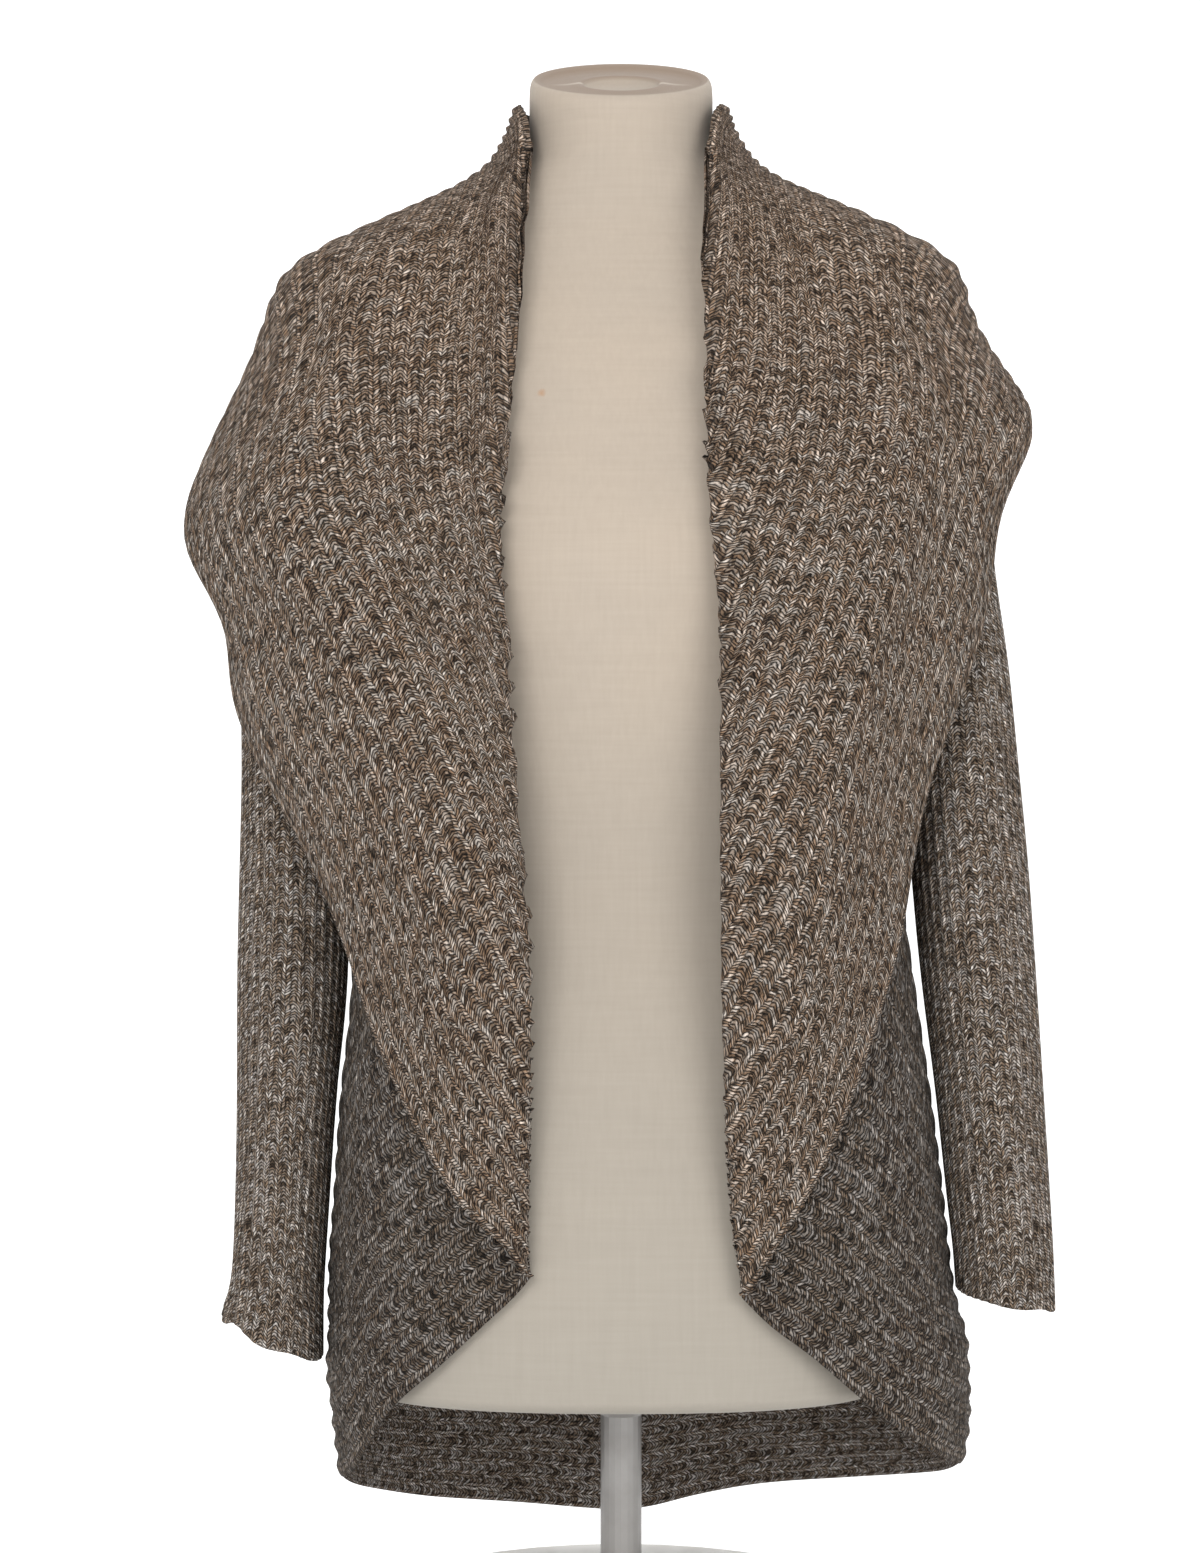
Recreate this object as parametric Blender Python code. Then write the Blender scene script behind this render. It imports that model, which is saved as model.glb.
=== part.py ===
"""Shawl-collar cardigan in chunky rib knit, worn on a limbless dress form with a stand.

Metres, +Z up. The front faces -Y, "left" is the viewer's left (-X), and the origin is on the
floor under the post. Azimuths run from the middle of the front (0) round to the middle of the
back (180), on either side. Heights in the tables are above the base of the form.
"""

import math

import bpy
import numpy as np

MM = 0.001
FORM_BASE = 0.130  # floor to the underside of the form
LEFT, RIGHT = -1, 1

KNIT_WALL = 2.4 * MM  # cloth between the ribs
RIB_HEIGHT = 1.3 * MM  # how far a rib stands out of the cloth
PLAIN_EVERY = 4  # the plain inside has one line for this many on the ribbed outside
PLAIN_EVERY_TIGHT = 2  # the same where a layer lies close over another
SEAM_GAP = 0.3 * MM
LAP_GAP = 0.6 * MM  # between layers that lie on each other
ROLL_GAP = 1.5 * MM  # between the front and the edge of the shawl's roll
FOLD_RADIUS = 9.0 * MM  # of the roll where the shawl turns back
WALES_ON_SHAWL = 26
WALES_ON_FRONT = 34
WALES_ON_BACK = 26
WALES_ON_SLEEVE = 20
RIBS_ON_HEM = 12
RIBS_ON_NECK_STAND = 4

ARMHOLE_HEIGHT = 575.0
ARMHOLE_HALF_HEIGHT = 80.0
ARMHOLE_HALF_ANGLE = 18.0
SLEEVE_INSIDE = (3.1, 0.85)  # how far the sleeve's first ring lies in from the armhole, and in azimuth
SLEEVE_CROWN = 0.85  # below 1 makes a sleeve's level sections fuller than an ellipse, in x
SLEEVE_CHEEK = 0.9  # the same in y
HEM_BAND_TOP = 55.0
NECK_SEAM = 705.0
COLLAR_TOP = 748.0
BACK_LOW = HEM_BAND_TOP + 2 * SEAM_GAP / MM
SIDE = 90.0
SIDE_SEAM = math.degrees(SEAM_GAP / (170 * MM))  # azimuth that each panel keeps clear of the side
NECK_SIDE_SEAM = math.degrees(SEAM_GAP / (55 * MM))
BACK_SEAM = math.degrees(SEAM_GAP / 2 / (90 * MM))  # at the middle of the back, on each shawl
FOLD_POINTS = 40  # of the fold line, for each of its five stretches

POST_RADIUS = 12.0 * MM
FLANGE_RADIUS = 38.0 * MM
FLANGE_THICK = 5.0 * MM
FOOT_RADIUS = 135.0 * MM
FOOT_THICK = 10.0 * MM
FOOT_BEVEL = 2.5 * MM
POST_SEGMENTS = 20
NECK_TILT = math.radians(20.0)
NECK_TILT_FROM = 706.0  # the neck starts to lean here
NECK_TILT_WHOLE = 745.0
FORM_SEGMENTS = 32


def table(columns, *rows):
    """Named columns of numbers from rows in the same order."""
    return dict(zip(columns, np.array(rows, float).T))


RING_COLUMNS = ("girth", "height", "left", "right", "front", "back")

# Dress form, mm: half-widths and depths of its level sections.
FORM_RINGS = table(
    RING_COLUMNS,
    (0, 0, 152, 152, 105, 105),
    (8, 8, 159, 159, 111, 111),
    (35, 35, 162, 162, 113, 114),
    (80, 80, 164, 164, 114, 117),
    (180, 180, 149, 149, 103, 106),
    (290, 290, 122, 122, 90, 90),
    (400, 400, 134, 134, 107, 96),
    (480, 480, 146, 146, 120, 98),
    (560, 560, 156, 156, 99, 99),
    (600, 600, 168, 168, 85, 96),
    (625, 624, 171, 171, 75, 92),
    (642, 640, 168, 168, 68, 86),
    (655, 651, 159, 159, 64, 80),
    (666, 659, 144, 144, 61, 75),
    (679, 670, 122, 122, 57, 69),
    (693, 684, 93, 93, 54, 63),
    (706, 702, 68, 68, 53, 59),
    (718, 718, 55, 55, 52, 56),
    (735, 735, 53.6, 53.6, 51, 53),
    (750, 750, 53.8, 53.8, 52, 53.5),
    (757, 757, 54.6, 54.6, 54, 55),
    (761, 761, 54.8, 54.8, 54.5, 55.5),
    (764, 764, 52, 52, 52, 53),
)

# The cap inside the neck's rim, mm: radius, and depth below the rim's top; the last two are the dish.
CAP = table(("radius", "below"), (49, 0.5), (45, 3), (24.5, 3), (21.5, 4), (16.5, 8))

# Body layer of the cardigan, mm: the cloth between the ribs. "girth" counts down from the collar.
BODY_RINGS = table(
    RING_COLUMNS,
    (-100, -100, 163, 197, 117, 125),
    (-50, -50, 164, 198, 118, 125),
    (-15, -15, 168, 203, 119, 125),
    (17, 17, 170, 202, 120, 125),
    (60, 60, 170, 193, 121, 125),
    (120, 120, 166, 186, 122, 124),
    (167, 167, 163, 180, 122, 121),
    (235, 235, 156, 170, 124, 118),
    (290, 290, 155, 163, 126, 115),
    (400, 400, 156, 159, 128, 111),
    (480, 480, 160, 160, 127, 109),
    (560, 560, 165, 165, 107, 107),
    (600, 600, 176, 176, 92, 104),
    (625, 625, 181, 181, 83, 100),
    (642, 640.5, 180.5, 180.5, 78, 95),
    (657, 654, 170.5, 170.5, 74, 90),
    (668, 662.5, 153.5, 154, 71, 85),
    (682, 677, 125, 127, 68, 79),
    (697, 693, 93, 95.5, 64, 72),
    (709, 708, 70, 71, 61, 67),
    (720, 721, 60.2, 60.2, 58, 62),
    (736, 737, 57.5, 57.5, 57, 58.3),
    (752, 750, 57.4, 57.4, 57, 58.3),
)

# Shawl layer, mm: its outline from the front gives "left" and "right".
SHAWL_RINGS = table(
    RING_COLUMNS,
    (50, 50, 178, 203, 130, 135),
    (120, 120, 175, 197, 131, 134),
    (167, 167, 173, 190, 131, 133),
    (235, 235, 173, 183, 132, 132),
    (290, 290, 183, 182, 134, 132),
    (335, 335, 200, 186, 135, 133),
    (374, 374, 218, 195, 136, 134),
    (410, 410, 228, 207, 137, 134),
    (439, 439, 227, 214, 138, 132),
    (468, 468, 243, 219, 138, 130),
    (497, 497, 255, 219, 136, 128),
    (527, 527, 248, 229, 129, 126),
    (556, 556, 236, 240, 120, 123),
    (585, 586, 221, 229, 112, 121),
    (600, 602, 214, 217, 108, 119),
    (625, 632, 205, 203, 101, 115),
    (642, 650, 198, 200, 97, 111),
    (657, 664, 175, 184, 93, 106),
    (668, 675, 150, 161, 90, 101),
    (682, 687.5, 120, 130, 86, 95),
    (697, 701.5, 92, 96, 80, 88),
    (709, 712.5, 78, 80.5, 74, 80),
    (720, 723, 71.5, 72.5, 69, 74),
    (736, 738, 65, 65, 65, 68),
    (752, 752, 62.3, 62.3, 62.3, 65),
)

# How square a level section is: 2 is an ellipse.
SQUARENESS = table(("girth", "power"), (0, 2.4), (640, 2.4), (700, 2.2), (740, 2.0))

# Fold line of each shawl, from the tip at the hem up to the side of the neck.
FOLD_COLUMNS = ("girth", "azimuth")
FOLD_LINE = {
    LEFT: table(
        FOLD_COLUMNS,
        (79, 21.9), (126, 21.6), (259, 20.9), (314, 22.5), (447, 25.0), (551, 27.2),
        (615, 29.4), (659, 32.5), (697, 38.5), (720, 47.0), (741, 60.0), (750, 76.0),
    ),
    RIGHT: table(
        FOLD_COLUMNS,
        (67, 28.4), (116, 25.5), (202, 23.8), (313, 22.4), (430, 21.8), (504, 20.0),
        (569, 22.1), (636, 24.9), (676, 29.5), (697, 34.0), (720, 43.5), (741, 56.0), (750, 72.0),
    ),
}

# Where the wales cross the fold line: share of the wales from the tip up, and girth there.
CROSSING_COLUMNS = ("share", "girth")
FOLD_CROSSINGS = {
    LEFT: table(
        CROSSING_COLUMNS,
        (0, 79), (0.28, 175), (0.50, 278), (0.68, 376), (0.83, 457), (0.93, 549), (0.96, 600),
        (0.985, 660), (1, 712),
    ),
    RIGHT: table(
        CROSSING_COLUMNS,
        (0, 67), (0.28, 178), (0.49, 298), (0.66, 402), (0.81, 514), (0.90, 560), (0.95, 618),
        (0.985, 670), (1, 712),
    ),
}

# The same for the wales of each front.
FRONT_CROSSINGS = {
    LEFT: table(CROSSING_COLUMNS, (0, 79), (0.22, 175), (0.45, 303), (0.67, 441), (0.85, 560), (1, 750)),
    RIGHT: table(CROSSING_COLUMNS, (0, 67), (0.22, 168), (0.45, 303), (0.67, 445), (0.85, 560), (1, 750)),
}

# Wales of the shawl that guide the others, from the fold to the side (azimuth 90) and on to the
# middle of the back: share of the wales, then azimuth and girth along it. Share 0 is the free edge,
# and share 1 is the last stretch of the fold line itself.
SHAWL_GUIDES = {
    LEFT: {
        0.0: (
            (21.9, 79), (26.5, 96), (35, 111), (44, 145), (53, 188), (61, 230), (68, 278), (73, 312),
            (77.5, 345), (81, 374), (84, 409), (83, 437), (86.5, 468), (90, 500),
            (105, 501), (130, 478), (155, 458), (180, 450),
        ),
        0.28: (
            (22.5, 176), (41, 245), (53, 343), (64, 440), (73.5, 547), (79, 580), (90, 612),
            (130, 570), (180, 516),
        ),
        0.50: (
            (23.5, 279), (36, 365), (48, 462), (58, 538), (64, 588), (66, 635), (71, 660), (90, 678),
            (130, 640), (180, 587),
        ),
        0.68: (
            (24, 376), (38, 475), (46, 543), (50.5, 604), (52, 645), (57, 678), (90, 700), (130, 684),
            (180, 654),
        ),
        0.83: (
            (24, 457), (31, 508), (38, 593), (41.5, 650), (46.5, 690), (60, 711), (90, 722),
            (130, 719), (180, 706),
        ),
        0.93: (
            (27, 549), (32, 603), (35, 654), (40.5, 688), (52, 717), (66, 731), (90, 737), (130, 736),
            (180, 731),
        ),
        0.96: (
            (29, 600), (33, 650), (38, 683), (45, 706), (56, 725), (69, 737), (90, 742), (130, 742),
            (180, 739),
        ),
        0.985: (
            (32.5, 660), (38, 690), (45, 710), (54.5, 727), (67, 741), (90, 747.5), (130, 747.5),
            (180, 747),
        ),
        1.0: ((43, 712), (51, 728), (60, 740), (74, 749), (90, 752), (135, 752), (180, 752)),
    },
    RIGHT: {
        0.0: (
            (28.4, 67), (33.5, 91), (38.5, 111), (46.8, 152), (51.8, 184), (58, 225), (64.4, 272),
            (67.2, 309), (70, 352), (72.5, 377), (75, 410), (77, 444), (78.5, 468), (80, 500), (83, 530),
            (90, 556), (105, 545), (130, 505), (155, 465), (180, 450),
        ),
        0.28: (
            (24, 178), (38.5, 232), (50, 320), (56.5, 432), (65, 534), (72.5, 589), (90, 619),
            (130, 570), (180, 516),
        ),
        0.49: (
            (22.5, 298), (34.5, 365), (45.5, 464), (54.5, 542), (61.5, 607), (64.5, 650), (71, 672),
            (90, 684), (130, 642), (180, 587),
        ),
        0.66: (
            (22, 402), (32.5, 475), (43, 550), (48, 602), (49.5, 649), (55, 681), (90, 702),
            (130, 684), (180, 654),
        ),
        0.81: (
            (20.2, 514), (29.5, 553), (36.5, 598), (40, 645), (45.5, 688), (58, 709), (90, 720),
            (130, 717), (180, 706),
        ),
        0.90: (
            (21.8, 560), (28, 603), (33.5, 654), (38, 688), (50, 716), (64, 729), (90, 735),
            (130, 734), (180, 728),
        ),
        0.95: (
            (24, 618), (29.5, 660), (35.5, 690), (44, 712), (56, 728), (69, 737), (90, 741.5),
            (130, 741), (180, 738),
        ),
        0.985: (
            (28.5, 670), (34.5, 695), (42, 713), (51, 728), (63, 740.5), (90, 747.5), (130, 747.5),
            (180, 747),
        ),
        1.0: ((40, 712), (48, 728), (56, 740), (70, 749), (90, 752), (135, 752), (180, 752)),
    },
}
SIDE_STATION = 0.55  # share of a wale's length at which every guide reaches the side
FOLD_HOLD = 0.33  # share of a wale's length over which the fold line draws it in

# Lower edge of each front, from the tip to the side seam.
HEM_COLUMNS = ("azimuth", "girth")
FRONT_HEM = {
    LEFT: table(
        HEM_COLUMNS,
        (21.9, 79), (24.2, 72), (33.9, 50), (44.6, 25), (55.2, 2), (65.2, -28), (73, -44), (90, -53),
    ),
    RIGHT: table(
        HEM_COLUMNS,
        (28.4, 67), (35.2, 50), (42.6, 35), (54.9, 3), (63.1, -17), (75, -36), (90, -46),
    ),
}

# Lower edge of the back hem band, from side seam to side seam; left azimuths are negative.
BACK_HEM = table(
    HEM_COLUMNS,
    (-270, -46), (-255, -60), (-235, -72), (-215, -80), (-200, -88), (-188, -95), (-180, -97),
    (-172, -96), (-155, -92), (-133, -85), (-110, -70), (-90, -53),
)

# Where the wales of a front meet the side seam and the armhole: share, then girth above the hem.
SIDE_CROSSINGS = table(
    CROSSING_COLUMNS, (0, 0), (0.22, 105), (0.45, 240), (0.68, 450), (0.85, 615), (1, 708)
)

# Shares of a panel's length at which its wall has points, closest where it bends most.
FRONT_STATIONS = np.array((0, 0.12, 0.26, 0.42, 0.58, 0.73, 0.87, 0.95, 1))
SHAWL_STATIONS = np.array((0, 0.008, 0.024, 0.06, 0.12, 0.2, 0.29, 0.37, 0.44, 0.5, 0.56, 0.68, 0.84, 1))
BACK_ROWS = np.array(
    (BACK_LOW, 160, 270, 380, 460, 497, 516, 545, 580, 610, 633, 647, 660, 680, NECK_SEAM)
)  # girths

STATIONS_ON_HEM = 17
STATIONS_ON_NECK = 15

# How fast a front's shoulder seam turns from the side of the neck to the top of the shoulder.
SHOULDER_SEAM = table(("share", "turn"), (0, 0), (0.12, 0.6), (0.3, 1), (1, 1))

# Sleeves, mm: x and height of the outer and inner line, half-depth and middle in Y.
SLEEVE_COLUMNS = ("outer_x", "outer_z", "inner_x", "inner_z", "half_depth", "middle_y")
SLEEVE_RINGS = {
    LEFT: table(
        SLEEVE_COLUMNS,
        (191, 636, 169.0, 482, 46, 0),
        (199, 618, 169.5, 472, 46, 1),
        (206, 592, 169.5, 460, 46, 2),
        (212, 558, 169.0, 446, 46, 3),
        (217, 518, 168.0, 430, 46, 3),
        (221, 474, 166.5, 410, 43, 6),
        (222, 424, 164.5, 384, 41, 8),
        (221, 366, 162.0, 350, 40, 8),
        (222, 305, 160.5, 300, 40, 5),
        (223, 240, 161.0, 240, 40, 0),
        (222.5, 170, 167.5, 170, 40, -6),
        (223, 112, 171.5, 105, 39, -11),
        (224.5, 68, 174.5, 50, 40, -15),
        (231, 45, 174.5, 18, 42, -15),
    ),
    RIGHT: table(
        SLEEVE_COLUMNS,
        (189, 634, 169.0, 482, 46, 0),
        (196, 614, 169.5, 472, 46, 1),
        (203, 588, 169.5, 460, 46, 2),
        (209, 552, 169.0, 446, 46, 3),
        (214, 512, 168.0, 430, 45, 6),
        (219, 468, 167.0, 410, 43, 8),
        (225.5, 425, 167.0, 384, 42, 8),
        (231, 370, 168.5, 348, 42, 8),
        (237, 305, 172.0, 295, 42, 4),
        (241, 240, 177.0, 238, 42, -1),
        (244.5, 175, 185.0, 172, 42, -7),
        (247.5, 115, 191.0, 110, 41, -14),
        (249.5, 78, 194.5, 80, 41, -15),
        (250.5, 48, 196.0, 58, 42, -15),
    ),
}
CUFF_WAVE = {LEFT: 4.0 * MM, RIGHT: 1.5 * MM}
CUFF_WAVES = 5

CREAM = (0.63, 0.53, 0.42)
MARL = (0.21, 0.17, 0.13)
GREY_STEEL = (0.30, 0.29, 0.28)
PALE_ENAMEL = (0.62, 0.60, 0.56)


def smooth(at, xs, ys):
    """A curve through (xs, ys) that never overshoots, read at each value of `at`.

    ys may have more axes after the first; the result has the shape of `at` before them.
    """
    at = np.asarray(at, float)
    xs = np.asarray(xs, float)
    ys = np.asarray(ys, float)
    spread = (-1,) + (1,) * (ys.ndim - 1)
    steps = np.diff(xs).reshape(spread)
    slopes = np.diff(ys, axis=0) / steps
    tangents = np.zeros_like(ys)
    product = slopes[:-1] * slopes[1:]
    total = slopes[:-1] + slopes[1:]
    safe = np.where(product > 0, total, 1.0)
    tangents[1:-1] = np.where(product > 0, 2 * product / safe, 0.0)
    tangents[0] = slopes[0]
    tangents[-1] = slopes[-1]
    place = np.clip(np.searchsorted(xs, at) - 1, 0, len(xs) - 2)
    extra = (1,) * (ys.ndim - 1)
    step = steps[place].reshape(at.shape + extra)
    share = (np.clip(at, xs[0], xs[-1]) - xs[place]).reshape(at.shape + extra) / step
    rest = 1 - share
    low = ys[place] * (1 + 2 * share) + tangents[place] * step * share
    high = ys[place + 1] * (1 + 2 * rest) - tangents[place + 1] * step * rest
    return low * rest**2 + high * share**2


def ring_point(rings, azimuth, girth):
    """Point of a layer, in metres; azimuth in degrees, negative on the left."""
    angle = np.radians(azimuth)
    sine = np.sin(angle)
    cosine = np.cos(angle)
    column = {name: smooth(girth, rings["girth"], rings[name]) for name in RING_COLUMNS[1:]}
    power = smooth(girth, SQUARENESS["girth"], SQUARENESS["power"])
    half_width = np.where(sine < 0, column["left"], column["right"])
    depth = np.where(cosine > 0, column["front"], column["back"])
    radius = ((abs(sine) / half_width) ** power + (abs(cosine) / depth) ** power) ** (-1 / power)
    height = column["height"] * MM + FORM_BASE
    return np.stack((radius * sine * MM, -radius * cosine * MM, height), axis=-1)


def lifted_point(rings, azimuth, girth, lift):
    """Point of a layer moved out by lift, square to it."""
    tiny = 0.01
    here = ring_point(rings, azimuth, girth)
    round_it = ring_point(rings, azimuth + tiny, girth) - ring_point(rings, azimuth - tiny, girth)
    up_it = ring_point(rings, azimuth, np.minimum(girth + tiny, rings["girth"][-1])) - ring_point(
        rings, azimuth, girth - tiny
    )
    return here + unit(np.cross(round_it, up_it)) * lift


def unit(vectors):
    """Vectors scaled to a length of one."""
    return vectors / np.linalg.norm(vectors, axis=-1, keepdims=True)


def on_body(place):
    """Sheet on the body layer from place(across, along), which gives azimuth and girth."""

    def sheet(across, along, lift):
        spot = place(across, along)
        return lifted_point(BODY_RINGS, spot[..., 0], spot[..., 1], lift)

    return sheet


def off_grid(surface, side):
    """Sheet from surface(across, along), moved out square to its own grid.

    Across, along and the outside make a right-handed set on the left, a left-handed one on the right.
    """

    def sheet(across, along, lift):
        tiny = 1e-4
        across_step = np.where(across + tiny > 1, -tiny, tiny)
        along_step = np.where(along + tiny > 1, -tiny, tiny)
        here = surface(across, along)
        over = (surface(across + across_step, along) - here) * np.sign(across_step)[:, None, None]
        on = (surface(across, along + along_step) - here) * np.sign(along_step)[None, :, None]
        return here - unit(np.cross(over, on)) * side * lift

    return sheet


def make_material(name, colour, roughness, metallic):
    """Plain finish of one sub-part."""
    material = bpy.data.materials.new(name)
    material.use_nodes = True
    shader = material.node_tree.nodes["Principled BSDF"]
    shader.inputs["Base Color"].default_value = (*colour, 1.0)
    shader.inputs["Roughness"].default_value = roughness
    shader.inputs["Metallic"].default_value = metallic
    material.diffuse_color = (*colour, 1.0)
    return material


def add_object(name, points, faces, material):
    """One named object from points and faces, shaded smooth where it bends gently."""
    mesh = bpy.data.meshes.new(name)
    mesh.from_pydata([tuple(point) for point in points], [], faces)
    mesh.materials.append(material)
    mesh.shade_smooth()
    mesh.set_sharp_from_angle(angle=math.radians(40))
    obj = bpy.data.objects.new(name, mesh)
    bpy.context.collection.objects.link(obj)
    return obj


def grid_faces(index, flip):
    """Quads of a grid of point numbers."""
    corners = (index[:-1, :-1], index[1:, :-1], index[1:, 1:], index[:-1, 1:])
    quads = np.stack(corners, axis=-1).reshape(-1, 4)
    if flip:
        quads = quads[:, ::-1]
    return quads.tolist()


def end_faces(outer, inner, flip):
    """Triangles that close the end of a wall whose outside has more points than its inside."""
    faces = []
    step = (len(outer) - 1) // (len(inner) - 1)
    for cell in range(len(inner) - 1):
        first = cell * step
        middle = first + step // 2
        last = first + step
        for point in range(first, middle):
            faces.append((inner[cell], outer[point], outer[point + 1]))
        faces.append((inner[cell], outer[middle], inner[cell + 1]))
        for point in range(middle, last):
            faces.append((inner[cell + 1], outer[point], outer[point + 1]))
    if flip:
        faces = [face[::-1] for face in faces]
    return [tuple(int(point) for point in face) for face in faces]


def wall(name, outer, inner, material, closed=False):
    """A wall of cloth between two grids that share their rows along the ribs.

    Both are (lines across, points along, 3). A closed wall's first line follows its last.
    """
    rows = outer.shape[1]
    outer_index = np.arange(outer.shape[0] * rows).reshape(-1, rows)
    inner_index = outer_index.size + np.arange(inner.shape[0] * rows).reshape(-1, rows)
    if closed:
        outer_index = np.vstack((outer_index, outer_index[:1]))
        inner_index = np.vstack((inner_index, inner_index[:1]))
    faces = grid_faces(outer_index, False) + grid_faces(inner_index, True)
    faces += end_faces(outer_index[:, 0], inner_index[:, 0], True)
    faces += end_faces(outer_index[:, -1], inner_index[:, -1], False)
    if not closed:
        faces += grid_faces(np.stack((outer_index[0], inner_index[0])), True)
        faces += grid_faces(np.stack((outer_index[-1], inner_index[-1])), False)
    points = np.vstack((outer.reshape(-1, 3), inner.reshape(-1, 3)))
    return add_object(name, points, faces, material)


def ribbed_wall(name, sheet, ribs, along, material, plain_every=PLAIN_EVERY_TIGHT, closed=False):
    """A wall whose outside stands out in ribs, over a plain inside.

    sheet(across, along, lift) is the cloth between the ribs, for shares of the width and length,
    moved out by lift.
    """
    lines = 2 * ribs + 1
    across = np.linspace(0, 1, lines)
    ridge = (np.arange(lines) % 2 * RIB_HEIGHT)[:, None, None]
    outer = sheet(across, along, ridge)
    inner = sheet(across, along, -KNIT_WALL)
    facing = np.cross(outer[1:, :-1] - outer[:-1, :-1], outer[:-1, 1:] - outer[:-1, :-1])
    if (facing * (outer - inner)[:-1, :-1]).sum() < 0:
        outer = outer[::-1]
        inner = inner[::-1]
    inner = inner[::plain_every]
    if closed:
        outer = outer[:-1]
        inner = inner[:-1]
    return wall(name, outer, inner, material, closed)


def fold_point(side, share, crossings):
    """Azimuth and girth of the fold line at a share of the wales, which cross it as the table says."""
    line = FOLD_LINE[side]
    girth = smooth(share, crossings["share"], crossings["girth"])
    return np.stack((smooth(girth, line["girth"], line["azimuth"]), girth), axis=-1)


def guide_along(side, guide, along):
    """Azimuth and girth of one guiding wale at shares of its length."""
    places = np.array(guide, float)
    points = ring_point(SHAWL_RINGS, side * places[:, 0], places[:, 1])
    length = np.concatenate(([0], np.cumsum(np.linalg.norm(np.diff(points, axis=0), axis=1))))
    to_side = length[int(np.argmax(places[:, 0] == SIDE))]
    front = length / to_side * SIDE_STATION
    behind = SIDE_STATION + (length - to_side) / (length[-1] - to_side) * (1 - SIDE_STATION)
    return smooth(along, np.where(length <= to_side, front, behind), places)


def shawl_place(side, across, along):
    """Azimuth and girth of the shawl's cloth; across runs from the free edge to the neck."""
    guides = SHAWL_GUIDES[side]
    shares = np.array(sorted(guides))
    curves = np.stack([guide_along(side, guides[share], along) for share in shares])
    place = smooth(across, shares, curves)
    starts = np.array([guides[share][0] for share in shares], float)
    pull = np.clip(1 - along / FOLD_HOLD, 0, 1) ** 2
    off_fold = fold_point(side, across, FOLD_CROSSINGS[side]) - smooth(across, shares, starts)
    return place + off_fold[:, None] * pull[None, :, None]


def shawl_surface(side):
    """Surface of one shawl, which turns back in a quarter roll where it meets the body layer."""
    line = FOLD_LINE[side]
    front_girth = np.linspace(line["girth"][0], line["girth"][-1], 4 * FOLD_POINTS)
    front_fold = np.stack((smooth(front_girth, line["girth"], line["azimuth"]), front_girth), axis=-1)
    neck_top = SHAWL_RINGS["girth"][-1]
    neck_azimuth = np.linspace(front_fold[-1, 0], 180, FOLD_POINTS)
    neck_fold = np.stack((neck_azimuth, np.full(FOLD_POINTS, neck_top)), axis=-1)
    fold = np.vstack((front_fold, neck_fold))
    fold_line = ring_point(SHAWL_RINGS, side * fold[:, 0], fold[:, 1])

    def surface(across, along):
        place = shawl_place(side, across, along)
        azimuth = side * place[..., 0] * (1 - BACK_SEAM / 180)
        over = ring_point(SHAWL_RINGS, azimuth, place[..., 1])
        under = lifted_point(BODY_RINGS, azimuth, place[..., 1], RIB_HEIGHT + ROLL_GAP)
        away = np.linalg.norm(over[:, :, None, :] - fold_line[None, None], axis=-1).min(axis=-1)
        rise = np.sqrt(1 - (1 - np.clip(away / FOLD_RADIUS, 0, 1)) ** 2)
        return under + (over - under) * rise[..., None]

    return surface


def side_azimuth(girth):
    """Azimuth of a panel's side edge: the side seam, cut back round the armhole."""
    reach = (girth - ARMHOLE_HEIGHT) / ARMHOLE_HALF_HEIGHT
    return SIDE - ARMHOLE_HALF_ANGLE * np.sqrt(np.clip(1 - reach**2, 0, 1))


def between(fold, far, low, high, across, along):
    """Places spread evenly inside four edges that meet at their corners."""
    a = across[:, None, None]
    b = along[None, :, None]
    low_corners = (1 - b) * low[:, :1] + b * low[:, -1:]
    high_corners = (1 - b) * high[:, :1] + b * high[:, -1:]
    return (1 - b) * fold + b * far + (1 - a) * (low - low_corners) + a * (high - high_corners)


def front_place(side):
    """Places of one front between the fold line, side seam, slanting hem and shoulder seam."""
    hem = FRONT_HEM[side]
    lowest = hem["girth"][-1]

    def side_place(share):
        girth = lowest + smooth(share, SIDE_CROSSINGS["share"], SIDE_CROSSINGS["girth"])
        return np.stack((side_azimuth(girth) - SIDE_SEAM, girth), axis=-1)

    def place(across, along):
        hem_azimuth = hem["azimuth"][0] + along * (SIDE - SIDE_SEAM - hem["azimuth"][0])
        low = np.stack((hem_azimuth, smooth(hem_azimuth, hem["azimuth"], hem["girth"])), axis=-1)
        neck = fold_point(side, np.ones(1), FRONT_CROSSINGS[side])[0]
        shoulder = side_place(np.ones(1))[0]
        turn = smooth(along, SHOULDER_SEAM["share"], SHOULDER_SEAM["turn"])
        high = neck + np.stack((turn, along), axis=-1) * (shoulder - neck)
        fold = fold_point(side, across, FRONT_CROSSINGS[side])[:, None]
        spot = between(fold, side_place(across)[:, None], low[None], high[None], across, along)
        return spot * (side, 1)

    return place


def round_the_back(along, seam):
    """Azimuths from the left side round the middle of the back to the right side."""
    return -SIDE - seam - along * 2 * (SIDE - seam)


def back_place(across, along):
    """Places of the back panel; across runs round the back, along runs up."""
    girth = (BACK_LOW + along * (NECK_SEAM - BACK_LOW))[None, :]
    edge = side_azimuth(girth) - SIDE_SEAM
    azimuth = -180 - (across[:, None] * 2 - 1) * edge
    return np.stack((azimuth, np.broadcast_to(girth, azimuth.shape)), axis=-1)


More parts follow.
